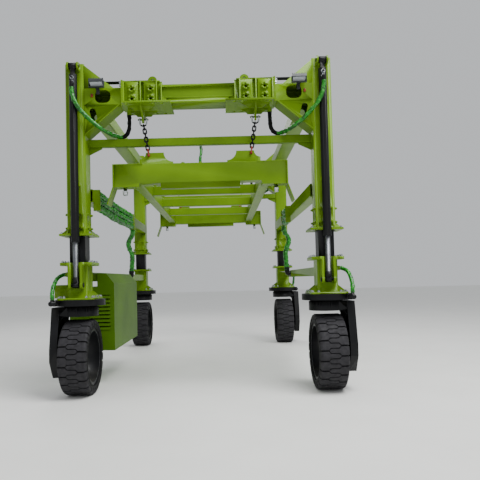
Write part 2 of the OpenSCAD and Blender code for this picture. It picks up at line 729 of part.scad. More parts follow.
module top_side_beams() color(LIME) for (s = [-1, 1]) mirror([s < 0 ? 1 : 0, 0, 0]) {
    x = leg_x - mast_w / 2 - 35;
    run = leg_y - mast_d / 2;
    translate([x, 0, beam_z + side_h / 2]) {
        difference() {
            translate([0, 0, -side_h / 2]) rotate([90, 0, 0]) translate([0, side_h / 2, -run])
                box_tube(side_w, side_h, beam_wall, 20, 2 * run);
        }
        for (y = [-run, run - 20]) translate([-side_w / 2, y, -side_h / 2]) cube([side_w, 20, side_h]);
    }
}

module middle_side_beams() color(LIME) for (s = [-1, 1]) mirror([s < 0 ? 1 : 0, 0, 0]) {
    x = leg_x - mast_w / 2 - 30 + mid_w / 2;
    run = leg_y - mast_d / 2;
    translate([x, run, mid_z + mid_h / 2]) rotate([90, 0, 0]) box_tube(mid_w, mid_h, beam_wall, 20, 2 * run);
    for (y = [(s < 0 ? -run : -400) + 10, bundle_y1]) translate([bundle_x - bundle_d / 2, y, drop_z])
        cube([x - mid_w / 2 + 2 - bundle_x + bundle_d / 2, y < bundle_y1 ? 60 : 180,
            mid_z + mid_h - drop_z - 10]);
}

module cross_ties() color(LIME) for (y_side = [-1, 1]) at_side(1, y_side) {
    x = leg_x - mast_w / 2;
    y = leg_y - mast_d / 2 + tie_d / 2;
    translate([-x, y, tie_z + tie_h / 2]) rotate([90, 0, 90]) box_tube(tie_d, tie_h, 8, 12, 2 * x);
    for (s = [-1, 1]) mirror([s < 0 ? 1 : 0, 0, 0]) along_y(y - 8, y + 8)
        polygon([[x, tie_z + 2], [x - 190, tie_z + 2], [x - 190, tie_z - 20], [x, tie_z - 110]]);
}

// Chains, spreader and twistlocks

module link() for (s = [-1, 1]) {
    translate([s * (link_in + link_w) / 2, 0, -(link_l - link_in) / 2])
        cylinder(d = link_w, h = link_l - link_in);
    translate([0, 0, s * (link_l - link_in) / 2]) rotate([90, 0, 0]) rotate([0, 0, s > 0 ? 0 : 180])
        rotate_extrude(angle = 180) translate([(link_in + link_w) / 2, 0]) circle(d = link_w, $fn = 24);
}

// Bow shackle whose pin lies along X, hanging down by the drop, with its bow in X and Z
module shackle(r, w, drop, pin_d, pin_l) {
    translate([0, 0, -drop]) rotate([90, 0, 0]) rotate([0, 0, 180]) rotate_extrude(angle = 180)
        translate([r, 0]) circle(d = w, $fn = 24);
    for (s = [-1, 1]) {
        translate([s * r, 0, -drop]) cylinder(d = w, h = drop);
        rod_x(s * r - w / 2, s * r + w / 2, w * 1.9);
    }
    rod_x(-pin_l / 2, pin_l / 2, pin_d);
}

module chains(y_side) color("#17181a") for (s = [-1, 1]) at_side(s, y_side) {
    translate([chain_x, leg_y, chain_z]) shackle(bow_r, bow_w, bow_drop, shackle_pin_d, 2 * bow_r + 60);
    translate([chain_x, leg_y, bow_z]) rotate([0, lean, 0]) for (k = [0 : links - 1])
        translate([0, 0, -first_link - k * link_step]) rotate([0, 0, k % 2 == 0 ? 90 : 0]) link();
}

// Rust red shackles that hold the chains' lower ends to the spreader's lugs
module chain_hooks() color("#8c3b2a") for (c = CORNERS) at_side(c[1], c[2]) translate([hook_x, leg_y, hook_z])
    rotate([0, lean, 0]) rotate([180, 0, 90])
        shackle(hook_r, hook_w, chain_l - hook_crown - hook_r, shackle_pin_d, 2 * hook_r + 50);

module spreader_end(y_side) color(LIME) at_side(1, y_side) translate([0, leg_y, 0]) {
    z1 = spreader_top;
    d = spreader_d;
    difference() {
        along_y(-d / 2, d / 2) polygon([[-spreader_x, spreader_z], [-920, spreader_z],
            [-900, spreader_z + 57], [900, spreader_z + 57],
            [920, spreader_z], [spreader_x, spreader_z], [spreader_x, z1], [-spreader_x, z1]]);
        along_y(-d / 2 + spreader_wall, d / 2 - spreader_wall)
            translate([-spreader_x + 12, spreader_z + 57 + 14])
            square([2 * spreader_x - 24, spreader_h - 57 - 28]);
        for (s = [-1, 1]) translate([s * lock_x / 2, 0, spreader_z - 1]) {
            cylinder(d = lock_d + 2 * run_gap, h = 120);
        }
    }
    for (s = [-1, 1]) mirror([s < 0 ? 1 : 0, 0, 0]) {
        translate([850, -d / 2 - 10, z1 - 8]) cube([spreader_x - 850, d + 20, 14]);
        difference() {
            along_y(-lug_t / 2, lug_t / 2) difference() {
                translate([lug_in, z1 - 2]) square([lug_out - lug_in, lug_h]);
                translate([lug_in, z1 + lug_h - 2]) circle(138);
                translate([lug_out, z1 + lug_h - 2]) circle(95);
            }
            translate([hook_x, 0, hook_z]) rod_y(-100, 100, shackle_pin_d + 2 * run_gap);
        }
    }
    translate([-590, -d / 2 + 20, spreader_z - 20]) cube([1180, d - 40, 78]);
    if (y_side < 0) translate([0, -40, z1 - 2]) cylinder(d = 52, h = 42);
}

module spreader_rails() color(LIME) for (s = [-1, 1])
    translate([s * rail_x, leg_y - spreader_d / 2, spreader_z + spreader_h / 2 + rail_up])
        rotate([90, 0, 0]) box_tube(rail_w, rail_h, 8, 14, wheelbase - spreader_d);

// Rungs between the rails' inner faces
module spreader_ties() color(LIME) for (y = [-rung_y, 0, rung_y])
    translate([rail_w / 2 - rail_x, y, spreader_z + spreader_h / 2 + rail_up])
        rotate([90, 0, 90]) box_tube(rung_w, rung_h, 8, 12, 2 * rail_x - rail_w);

module corner_guides() color(LIME) for (c = CORNERS) at_side(c[1], c[2]) along_y(leg_y - 140, leg_y + 130)
    polygon([[spreader_x, spreader_top], [spreader_x, spreader_z], [spreader_x + 90, spreader_z - guide_drop],
        [spreader_x + 106, spreader_z - guide_drop], [spreader_x + 16, spreader_z + 2],
            [spreader_x + 16, spreader_top]]);

module twistlock(x_side, y_side) color(STEEL) at_side(x_side, y_side) translate([lock_x / 2, leg_y, 0]) {
    translate([0, 0, spreader_z - 50]) cylinder(d = lock_d, h = 160);
    translate([0, 0, spreader_z - 110]) intersection() {
        cylinder(d1 = 60, d2 = 130, h = 62);
        translate([-30, -60, 0]) cube([60, 120, 62]);
    }
}

// Hoses: a tube with ten sides swept along its route, with corners rounded by a spline through the points
function unit(v) = v / norm(v);

function spline(p, k, t) = let (a = p[max(k - 1, 0)], b = p[k], c = p[k + 1], d = p[min(k + 2, len(p) - 1)])
    0.5 * (2 * b + (c - a) * t + (2 * a - 5 * b + 4 * c - d) * t * t + (3 * b - a - 3 * c + d) * t * t * t);

function smooth(p) = [for (k = [0 : len(p) - 2], t = [0, 0.5]) spline(p, k, t), p[len(p) - 1]];

module hose(points, d, up) {
    p = smooth(points);
    n = len(p);
    sides = 10;
    last = len(points) - 1;
    rings = [for (i = [0 : n - 1]) let (
        t = unit(i == 0 ? points[1] - points[0] :
            i == n - 1 ? points[last] - points[last - 1] : p[i + 1] - p[i - 1]),
        a = unit(cross(t, up)),
        b = cross(t, a)
    ) for (j = [0 : sides - 1]) p[i] + d / 2 * (cos(360 * j / sides) * a + sin(360 * j / sides) * b)];
    polyhedron(rings, concat(
        [[for (j = [0 : sides - 1]) sides - 1 - j]],
        [[for (j = [0 : sides - 1]) (n - 1) * sides + j]],
        [for (i = [0 : n - 2], j = [0 : sides - 1]) let (a = i * sides + j, b = i * sides + (j + 1) % sides)
            each [
            [a, b, b + sides], [a, b + sides, a + sides]]]
    ));
}

module upper_hoses(y_side) color(FILM) for (s = [-1, 1]) at_side(s, y_side) hose(concat(
    [[leg_x, leg_y + cyl_y + port_y, elbow_z], [leg_x, leg_y + cyl_y + port_y, elbow_z - 60]],
    UPPER_ROUTE,
    [[gland_x, leg_y + gland_y, gland_z - 70], [gland_x, leg_y + gland_y, gland_z]]), hose_d, [0, 1, 0]);

module slew_hoses(x_side) color(FILM) for (y_side = [-1, 1]) at_leg(x_side, y_side) hose(concat(
    [[socket_w / 2 + 50, 40, 1770], [socket_w / 2 + 70, 40, 1770]], SLEW_ROUTE,
    [[worm_x, 355, slew_z + slew_h / 2 + 114], [worm_x, 355, slew_z + slew_h / 2 + 54]]),
    hose_d - 4, [1, -1, -1]);

// Wrapped bundles along the inner face of a middle side beam, between two bulkhead blocks
module beam_hoses(x_side, y0) color(FILM) for (k = [0 : 2]) at_side(x_side, 1) hose([
    for (i = [0 : bundle_steps]) [bundle_x, y0 + (bundle_y1 - y0) * i / bundle_steps,
        bundle_z - k * bundle_step
        - bundle_sag * (k + 1) * sin(180 * min(max(i - 1, 0), bundle_steps - 2) / (bundle_steps - 2))]
    ], bundle_d, [0, 0, 1]);

// Bundles that hang from the bulkhead blocks down to the lower side beams
module drop_hoses(x_side) color(FILM) at_side(x_side, 1) hose(
    concat([[bundle_x, drop_y, drop_z], [bundle_x, drop_y, drop_z - 30]], DROP_ROUTE), bundle_d, [0, 1, 0]);

module spreader_hose() color(FILM) translate([0, -leg_y + 40, spreader_top + 40])
    hose(SPREADER_ROUTE, 40, [0, 1, 0]);

// Lamps

module work_lamps() color("#55585c") for (c = CORNERS) at_side(c[1], c[2])
    translate([lamp_x, leg_y + mast_d / 2, 0]) {
    translate([0, 90, lamp_z]) rotate([lamp_tilt, 0, 0]) difference() {
        translate([-105, -55, -32]) cube([210, 110, 64]);
        translate([-92, -42, -33]) cube([184, 84, 12]);
        for (x = [-84 : 24 : 84]) translate([x, -56, 12]) cube([12, 112, 21]);
    }
    arm_x = 105 + seat_gap;
    for (x = [-arm_x - 6, arm_x]) along_x(x, x + 6) {
        translate([90, lamp_z]) circle(22);
        translate([68, lamp_z - 70]) square([44, 70]);
    }
    translate([-arm_x - 6, 68, lamp_z - 76]) cube([2 * arm_x + 12, 44, 8]);
    translate([-25, 0, lamp_z - 76]) cube([50, 70, 8]);
    translate([-25, 0, lamp_z - 150]) cube([50, 8, 82]);
}

crossbeam(-1);  // front_crossbeam
crossbeam(1);  // rear_crossbeam
top_side_beams();
middle_side_beams();
cross_ties();
guide_pads();
lift_cylinders();
work_lamps();
lower_frame(-1);  // left_lower_frame
inner_masts(-1);  // left_inner_masts
lift_rods(-1);  // left_lift_rods
slew_drives(-1);  // left_slew_drives
power_pack();
engine();
lower_frame(1);  // right_lower_frame
inner_masts(1);  // right_inner_masts
lift_rods(1);  // right_lift_rods
slew_drives(1);  // right_slew_drives
for (c = CORNERS) {
    mast(c[1], c[2]);
    at_leg(c[1], c[2]) knuckle();
    at_leg(c[1], c[2]) translate([0, 0, axle_z]) tyre();
    at_leg(c[1], c[2]) translate([0, 0, axle_z]) rim();
    twistlock(c[1], c[2]);
}
chains(-1);  // chains_front
chains(1);  // chains_rear
spreader_end(-1);  // spreader_front
spreader_end(1);  // spreader_rear
spreader_rails();
spreader_ties();
corner_guides();
chain_hooks();
top_pipes();
upper_hoses(-1);  // front_upper_hoses
upper_hoses(1);  // rear_upper_hoses
slew_hoses(-1);  // left_slew_hoses
slew_hoses(1);  // right_slew_hoses
beam_hoses(-1, -leg_y + mast_d / 2 + 70);  // left_beam_hoses
beam_hoses(1, -330);  // right_beam_hoses
drop_hoses(-1);  // left_drop_hoses
drop_hoses(1);  // right_drop_hoses
spreader_hose();
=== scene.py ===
import bpy
import bmesh
import json
import math
from mathutils import Matrix, Vector


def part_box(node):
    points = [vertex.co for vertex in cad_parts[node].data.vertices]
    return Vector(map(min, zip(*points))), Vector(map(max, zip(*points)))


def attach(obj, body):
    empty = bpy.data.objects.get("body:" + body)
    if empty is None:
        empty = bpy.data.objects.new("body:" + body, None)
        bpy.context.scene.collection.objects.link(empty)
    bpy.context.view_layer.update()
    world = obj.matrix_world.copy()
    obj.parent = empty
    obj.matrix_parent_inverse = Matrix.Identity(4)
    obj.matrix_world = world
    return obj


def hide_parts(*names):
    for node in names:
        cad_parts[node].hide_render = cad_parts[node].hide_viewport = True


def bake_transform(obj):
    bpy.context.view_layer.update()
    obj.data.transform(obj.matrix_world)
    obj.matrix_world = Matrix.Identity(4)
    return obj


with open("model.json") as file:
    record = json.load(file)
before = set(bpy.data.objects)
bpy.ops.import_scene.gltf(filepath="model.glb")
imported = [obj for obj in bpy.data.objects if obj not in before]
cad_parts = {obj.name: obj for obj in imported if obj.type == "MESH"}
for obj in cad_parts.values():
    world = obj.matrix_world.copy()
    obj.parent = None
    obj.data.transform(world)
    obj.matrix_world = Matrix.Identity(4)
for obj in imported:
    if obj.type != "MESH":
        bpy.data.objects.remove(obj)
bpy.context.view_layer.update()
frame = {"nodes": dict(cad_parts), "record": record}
nodes = frame["nodes"]
print("frame loaded")

# Sides of the four legs along X and Y, and the leg centres (m)
corners = {"fl": (-1, -1), "fr": (1, -1), "rl": (-1, 1), "rr": (1, 1)}
legX, legY = 1.825, 2.9265
axleZ = 0.55

# Camera
camera = dict(
    place=(0.32, -10.83, 1.65),
    pitch=2.04,  # degrees up
    yaw=0.21,    # degrees to the left
    roll=1.4,    # degrees clockwise, between the lean of the ground and of the masts
    lens=39.83,
    shift=(0.0375, 0.0417),
)


def addCamera(c):
    data = bpy.data.cameras.new("camera")
    data.lens = c["lens"]
    data.sensor_width = 36
    data.shift_x, data.shift_y = c["shift"]
    cam = bpy.data.objects.new("camera", data)
    turn = (Matrix.Rotation(math.radians(c["yaw"]), 4, "Z")
            @ Matrix.Rotation(math.radians(90 + c["pitch"]), 4, "X")
            @ Matrix.Rotation(math.radians(-c["roll"]), 4, "Z"))
    cam.matrix_world = Matrix.Translation(c["place"]) @ turn
    bpy.context.scene.collection.objects.link(cam)
    bpy.context.scene.camera = cam


addCamera(camera)


def hexColor(code):
    parts = [int(code[i:i + 2], 16) / 255 for i in (1, 3, 5)]
    return [v / 12.92 if v <= 0.04045 else ((v + 0.055) / 1.055) ** 2.4 for v in parts] + [1.0]


# Sets a node's sockets: each takes a value, a hex colour, the socket that feeds it, or a node, for the first
# of its outputs that is in use
def setSockets(tree, node, values):
    for key, value in values.items():
        if isinstance(value, bpy.types.Node):
            value = next(output for output in value.outputs if output.enabled)
        if isinstance(value, bpy.types.NodeSocket):
            tree.links.new(value, node.inputs[key])
        elif isinstance(value, str) and value.startswith("#"):
            node.inputs[key].default_value = hexColor(value)
        else:
            node.inputs[key].default_value = value


# Adds one node to a tree: settings in small letters are its properties, and the others are its sockets
def addNode(tree, kind, settings=None):
    node = tree.nodes.new(kind)
    sockets = dict(settings or {})
    for key in list(sockets):
        if isinstance(key, str) and key[0].islower():
            setattr(node, key, sockets.pop(key))
    setSockets(tree, node, sockets)
    return node


# A material, from a finish: a function that gives what goes into the shader's sockets
def makeMaterial(name, finish, look):
    material = bpy.data.materials.new(name)
    material.use_nodes = True
    tree = material.node_tree
    place = addNode(tree, "ShaderNodeTexCoord").outputs["Object"]
    setSockets(tree, tree.nodes["Principled BSDF"], finish(tree, place, look))
    return material


# Noise whose grain is given in millimetres, spread to the range from low to high
def addGrain(tree, place, grainMm, low, high):
    noise = addNode(tree, "ShaderNodeTexNoise", {"Scale": 1000 / grainMm, "Detail": 4.0, "Vector": place})
    return addNode(tree, "ShaderNodeMapRange", {
        "Value": noise, "From Min": 0.35, "From Max": 0.65, "To Min": low, "To Max": high})


# Two colours in patches of a size in millimetres. Sockets 6 and 7 of a mix are its two colours
def addClouds(tree, place, look, most=1.0):
    cloud = addGrain(tree, place, look["cloudMm"], 0.0, most)
    return addNode(tree, "ShaderNodeMix", {"data_type": "RGBA", 0: cloud, 6: look["color"], 7: look["shade"]})


# How far a face looks up, from 0 at a slope of 57 degrees to 1 on top, in patches: where dust settles
def addSettled(tree, place, grainMm):
    normal = addNode(tree, "ShaderNodeNewGeometry").outputs["Normal"]
    height = addNode(tree, "ShaderNodeSeparateXYZ", {0: normal}).outputs["Z"]
    top = addNode(tree, "ShaderNodeMapRange", {"Value": height, "From Min": 0.55, "From Max": 0.98})
    patches = addGrain(tree, place, grainMm, 0.3, 1.0)
    return addNode(tree, "ShaderNodeMath", {"operation": "MULTIPLY", 0: top, 1: patches})


# What the enamels share: the grain of dust, rubbed edges and scuffs (mm), and the dust's colour
enamel = dict(dustMm=90, rubMm=30, scuffMm=14, dustColor="#9C9A8C")


# Two-pack enamel sprayed on welded steel: faint orange peel, dust on top, edges lighter (rubbed; painted
# highlight on the lime)
def sprayedEnamel(tree, place, look):
    color = addClouds(tree, place, look)
    bevel = addNode(tree, "ShaderNodeBevel", {"samples": 4, "Radius": look["edgeMm"] / 1000})
    flat = addNode(tree, "ShaderNodeNewGeometry").outputs["Normal"]
    along = addNode(tree, "ShaderNodeVectorMath", {"operation": "DOT_PRODUCT", 0: bevel, 1: flat})
    edge = addNode(tree, "ShaderNodeMapRange", {
        "Value": along, "From Min": 0.985, "From Max": 0.9, "To Max": look["edgeWearAndHighlight"]})
    # Lighter edges: rubbed paint on the black, red, grey and rim enamels, and a painted highlight on the lime
    # and the pack
    rub = addGrain(tree, place, enamel["rubMm"], 0.1, 1.0)
    wornAndLit = addNode(tree, "ShaderNodeMath", {"operation": "MULTIPLY", 0: edge, 1: rub})
    color = addNode(tree, "ShaderNodeMix", {"data_type": "RGBA", 0: wornAndLit, 6: color, 7: look["edge"]})
    settled = addSettled(tree, place, enamel["dustMm"])
    dust = addNode(tree, "ShaderNodeMath", {"operation": "MULTIPLY", 0: settled, 1: look["dust"]})
    color = addNode(tree, "ShaderNodeMix", {"data_type": "RGBA", 0: dust, 6: color, 7: enamel["dustColor"]})
    scuff = addGrain(tree, place, enamel["scuffMm"], look["roughness"] - 0.05, look["roughness"] + 0.07)
    dull = addNode(tree, "ShaderNodeMath", {"operation": "MULTIPLY", 0: dust, 1: 0.6})
    rough = addNode(tree, "ShaderNodeMath", {"operation": "ADD", 0: scuff, 1: dull})
    peel = addNode(tree, "ShaderNodeTexNoise", {
        "Scale": 1000 / look["peelMm"], "Detail": 2.0, "Vector": place})
    bump = addNode(tree, "ShaderNodeBump", {
        "Strength": look["peel"], "Distance": 0.002, "Height": peel, "Normal": bevel})
    return {"Base Color": color, "Roughness": rough, "Normal": bump, "IOR": 1.5, "Specular IOR Level": 0.2,
            "Coat Weight": look["coat"], "Coat Roughness": 0.12}


# Hard chrome on a ground rod: grey under a film of oil and dust, with faint rings from grinding
def hardChrome(tree, place, look):
    color = addClouds(tree, place, look)
    stretch = addNode(tree, "ShaderNodeMapping", {"Scale": (0.02, 0.02, 1.0), "Vector": place})
    rings = addNode(tree, "ShaderNodeTexNoise", {
        "Scale": 1000 / look["ringMm"], "Detail": 3.0, "Vector": stretch})
    rough = addNode(tree, "ShaderNodeMapRange", {"Value": rings, "To Min": 0.3, "To Max": 0.5})
    return {"Base Color": color, "Roughness": rough, "Metallic": 1.0}


# A surface that is uneven in colour and in gloss, each with its own grain
def mottledSurface(tree, place, look):
    color = addClouds(tree, place, look)
    rough = addGrain(tree, place, look["grainMm"], *look["roughness"])
    return look["uniform"] | {"Base Color": color, "Roughness": rough}


# Forged steel with a black oxide skin, as on lifting chain: dark, faintly bluish, rubbed bright in spots
def blackOxide(tree, place, look):
    spots = addNode(tree, "ShaderNodeTexNoise", {
        "Scale": 1000 / look["spotMm"], "Detail": 5.0, "Vector": place})
    rub = addNode(tree, "ShaderNodeMapRange", {
        "Value": spots, "From Min": 0.6, "From Max": 0.8, "To Max": 0.6})
    color = addNode(tree, "ShaderNodeMix", {
        "data_type": "RGBA", 0: rub, 6: look["color"], 7: look["rubbed"]})
    pits = addGrain(tree, place, look["pitMm"], 0.0, 1.0)
    bump = addNode(tree, "ShaderNodeBump", {"Strength": 0.35, "Distance": 0.001, "Height": pits})
    rough = addGrain(tree, place, look["grainMm"], 0.35, 0.6)
    return {"Base Color": color, "Roughness": rough, "Normal": bump, "Metallic": 0.85}


# Natural rubber, moulded: black and matt at the sides, grey with dust where the tread has rolled
def mouldedRubber(tree, place, look):
    tread = addNode(tree, "ShaderNodeAttribute", {"attribute_name": "tread"}).outputs["Fac"]
    patches = addGrain(tree, place, look["dustMm"], 0.6, 1.0)
    dust = addNode(tree, "ShaderNodeMath", {"operation": "MULTIPLY", 0: tread, 1: patches})
    side = addClouds(tree, place, look, 0.5)
    color = addNode(tree, "ShaderNodeMix", {"data_type": "RGBA", 0: dust, 6: side, 7: look["dust"]})
    grain = addGrain(tree, place, look["grainMm"], 0.0, 1.0)
    bump = addNode(tree, "ShaderNodeBump", {"Strength": 0.3, "Distance": 0.002, "Height": grain})
    rough = addGrain(tree, place, look["scuffMm"], 0.62, 0.88)
    return {"Base Color": color, "Roughness": rough, "Normal": bump, "IOR": 1.5, "Specular IOR Level": 0.2}


# Green stretch film wound round a hose: thin glossy plastic, with painted whitish highlights on its crumpled
# ridges and painted shade in the folds
def stretchFilm(tree, place, look):
    fold = addNode(tree, "ShaderNodeTexNoise", {
        "Scale": 1000 / look["foldMm"], "Detail": 5.0, "Distortion": 1.6, "Vector": place})
    # Low ground of the folds gets painted shade, and the crumpled ridges a painted highlight, from the noise
    # that also raises the bump
    foldShadeMask = addNode(tree, "ShaderNodeMapRange", {"Value": fold, "From Min": 0.38, "From Max": 0.54})
    highlightShare = addNode(tree, "ShaderNodeMapRange", {
        "Value": fold, "From Min": 0.6, "From Max": 0.7, "To Max": look["highlightShare"]})
    color = addNode(tree, "ShaderNodeMix", {"data_type": "RGBA", 0: foldShadeMask, 6: look["foldShade"], 7: look["color"]})
    color = addNode(tree, "ShaderNodeMix", {"data_type": "RGBA", 0: highlightShare, 6: color, 7: look["highlight"]})
    fine = addNode(tree, "ShaderNodeTexNoise", {
        "Scale": 1000 / look["wrinkleMm"], "Detail": 3.0, "Distortion": 2.0, "Vector": place})
    wrinkle = addNode(tree, "ShaderNodeMath", {"operation": "MULTIPLY", 0: fine, 1: 0.25})
    height = addNode(tree, "ShaderNodeMath", {"operation": "ADD", 0: fold, 1: wrinkle})
    bump = addNode(tree, "ShaderNodeBump", {"Strength": 0.9, "Distance": 0.012, "Height": height})
    return {"Base Color": color, "Roughness": 0.34, "Normal": bump, "IOR": 1.49, "Specular IOR Level": 0.3,
            "Coat Weight": 0.35, "Coat Roughness": 0.06}


# Prismatic glass in front of the lamp's diodes: clear and ribbed, with bands of painted highlight and shade
# and a faint painted glow
def ribbedGlass(tree, place, look):
    # Light and dark bands across the glass are painted highlight and shade; the faint emission is a painted
    # glow
    ribs = addNode(tree, "ShaderNodeTexWave", {
        "bands_direction": "X", "Scale": 1000 / look["glintBandMm"], "Vector": place}).outputs["Fac"]
    color = addNode(tree, "ShaderNodeMix", {
        "data_type": "RGBA", 0: ribs, 6: look["color"], 7: look["shade"]})
    return {"Base Color": color, "Roughness": 0.08, "IOR": 1.52, "Coat Weight": 1.0,
            "Emission Strength": 0.12, "Emission Color": look["paintedGlow"]}


# The lime's edge colour, lighter than its paint, is a painted highlight along its edges; the pack takes it
# too
limeLook = dict(color="#628600", shade="#557600", edge="#8AAA12", edgeMm=4, edgeWearAndHighlight=0.35, cloudMm=700,
                dust=0.03, roughness=0.36, coat=0.04, peelMm=9, peel=0.06)
# Sheet steel of the power pack: a deeper lime that is partly its own paint and partly painted shade, rougher
# and without a coat
packPaintAndShadeLook = dict(limeLook, color="#4C7200", shade="#406300", roughness=0.5, coat=0.0)
blackLook = dict(color="#08080A", shade="#0E0F11", edge="#3A3C3E", edgeMm=4, edgeWearAndHighlight=0.45, cloudMm=300,
                 dust=0.1, roughness=0.42, coat=0.05, peelMm=7, peel=0.08)
redLook = dict(color="#8C2A1C", shade="#6B2116", edge="#A8553F", edgeMm=3, edgeWearAndHighlight=0.8, cloudMm=25,
               dust=0.1, roughness=0.45, coat=0.15, peelMm=5, peel=0.15)
rimLook = dict(color="#141517", shade="#0E0F11", edge="#8A8D90", edgeMm=6, edgeWearAndHighlight=0.9, cloudMm=120,
               dust=0.1, roughness=0.4, coat=0.08, peelMm=7, peel=0.08)
greyLook = dict(color="#34373A", shade="#2A2D30", edge="#7C8082", edgeMm=2, edgeWearAndHighlight=0.7, cloudMm=60,
                dust=0.2, roughness=0.42, coat=0.1, peelMm=3, peel=0.1)
chromeLook = dict(color="#8F9196", shade="#77797E", cloudMm=160, ringMm=6)
# Zinc plate on bolts, nuts and hose fittings: pale, slightly bluish and uneven
zincLook = dict(color="#C9CCD0", shade="#8E9298", cloudMm=12, grainMm=8, roughness=(0.25, 0.45),
                uniform={"Metallic": 1.0})
# Cast nylon of the guide pads: waxy and ivory, greased grey where the mast slides
nylonLook = dict(color="#CFC4A4", shade="#8E8878", cloudMm=50, grainMm=20, roughness=(0.4, 0.6),
                 uniform={"IOR": 1.53, "Subsurface Weight": 0.1})
# Sand-cast aluminium of the engine block: grey, grainy and dull
castLook = dict(color="#85878A", shade="#55575A", cloudMm=30, grainMm=6, roughness=(0.5, 0.7),
                uniform={"Metallic": 0.9})
oxideLook = dict(color="#101113", rubbed="#6A6A6C", spotMm=22, grainMm=10, pitMm=5)
rubberLook = dict(color="#09090A", shade="#161616", dust="#313033", cloudMm=120, dustMm=60, scuffMm=40,
                  grainMm=4)
# The dark green is painted shade in the folds, and the whitish green a painted highlight on the ridges
filmLook = dict(color="#0C7E0A", foldShade="#043A06", highlight="#98D084", foldMm=62, wrinkleMm=9, highlightShare=0.28)
# The glass's light and dark bands are painted highlight and shade, and its glow is painted too
glassLook = dict(color="#C4CACE", shade="#6C7478", paintedGlow="#F4F8FF", glintBandMm=40)

# The material of each slot in the record
finishes = {
    "lime_paint": ("limeEnamel", sprayedEnamel, limeLook),
    "black_paint": ("blackEnamel", sprayedEnamel, blackLook),
    "rusty_steel": ("redEnamel", sprayedEnamel, redLook),
    "rim_grey": ("rimEnamel", sprayedEnamel, rimLook),
    "lamp_grey": ("lampEnamel", sprayedEnamel, greyLook),
    "chromed_rod": ("hardChrome", hardChrome, chromeLook),
    "bare_steel": ("zincSteel", mottledSurface, zincLook),
    "black_steel": ("forgedChain", blackOxide, oxideLook),
    "tyre_rubber": ("tyreRubber", mouldedRubber, rubberLook),
    "film_hose": ("greenFilm", stretchFilm, filmLook),
    "pad": ("nylonPad", mottledSurface, nylonLook),
    "engine_metal": ("castBlock", mottledSurface, castLook),
}
finishOf = {slot: makeMaterial(*finish) for slot, finish in finishes.items()}
packEnamelAndShade = makeMaterial("packEnamelAndShade", sprayedEnamel, packPaintAndShadeLook)
lampGlass = makeMaterial("lampGlass", ribbedGlass, glassLook)
print("materials made")


def linkPiece(name, mesh):
    piece = bpy.data.objects.new(name, mesh)
    bpy.context.scene.collection.objects.link(piece)
    return piece


def meshFrom(bm, name):
    mesh = bpy.data.meshes.new(name)
    bm.to_mesh(mesh)
    bm.free()
    return mesh


def smoothByAngle(mesh, degrees):
    mesh.shade_smooth()
    mesh.set_sharp_from_angle(angle=math.radians(degrees))


# Gives another slot's material to the faces whose middle passes a test
def paintPart(mesh, slot, test):
    mesh.materials.append(finishOf[slot])
    for face in mesh.polygons:
        face.material_index = int(test(face.center))


# Directions all round in equal steps, the first one turned by a share of a step
def allRound(count, turned=0.0):
    return [(math.cos(a), math.sin(a)) for a in (2 * math.pi * (k + turned) / count for k in range(count))]


# Faces between two closed rings of vertices
def bridge(bm, a, b):
    for i in range(len(a)):
        j = (i + 1) % len(a)
        bm.faces.new((a[i], a[j], b[j], b[i]))


# Geometry Nodes: every tree has named inputs, and ends in Realize Instances and Set Material
def startTree(name, inputs):
    tree = bpy.data.node_groups.new(name, "GeometryNodeTree")
    tree.interface.new_socket("Geometry", in_out="INPUT", socket_type="NodeSocketGeometry")
    for label, value in inputs.items():
        kind = "NodeSocketInt" if isinstance(value, int) else "NodeSocketFloat"
        tree.interface.new_socket(label, in_out="INPUT", socket_type=kind).default_value = value
    tree.interface.new_socket("Material", in_out="INPUT", socket_type="NodeSocketMaterial")
    tree.interface.new_socket("Geometry", in_out="OUTPUT", socket_type="NodeSocketGeometry")
    return tree, addNode(tree, "NodeGroupInput").outputs


def endTree(tree, entry, shape):
    real = addNode(tree, "GeometryNodeRealizeInstances", {"Geometry": shape})
    painted = addNode(tree, "GeometryNodeSetMaterial", {"Geometry": real, "Material": entry["Material"]})
    addNode(tree, "NodeGroupOutput", {0: painted})
    return tree


def runTree(name, mesh, tree, values):
    source = linkPiece(name + "Source", mesh)
    modifier = source.modifiers.new("nodes", "NODES")
    modifier.node_group = tree
    for item in tree.interface.items_tree:
        if item.item_type == "SOCKET" and item.in_out == "INPUT" and item.name in values:
            modifier[item.identifier] = values[item.name]
    graph = bpy.context.evaluated_depsgraph_get()
    made = bpy.data.meshes.new_from_object(source.evaluated_get(graph), depsgraph=graph)
    source.modifiers.remove(modifier)
    bpy.data.objects.remove(source)
    made.name = name
    return made


# Bolts: a washer, a hexagon head and the end of the stud. Widths are shares of the size across the flats, and
# depths are shares of an input
boltParts = (
    dict(sides=20, width=1.28, share=1.0, depthOf="Washer"),
    dict(sides=6, width=1 / math.cos(math.pi / 6), share=1.0, depthOf="Height"),  # across the corners
    dict(sides=14, width=0.52, share=1.45, depthOf="Height"),
)
bolt = dict(heightShare=0.6, washer=0.004)


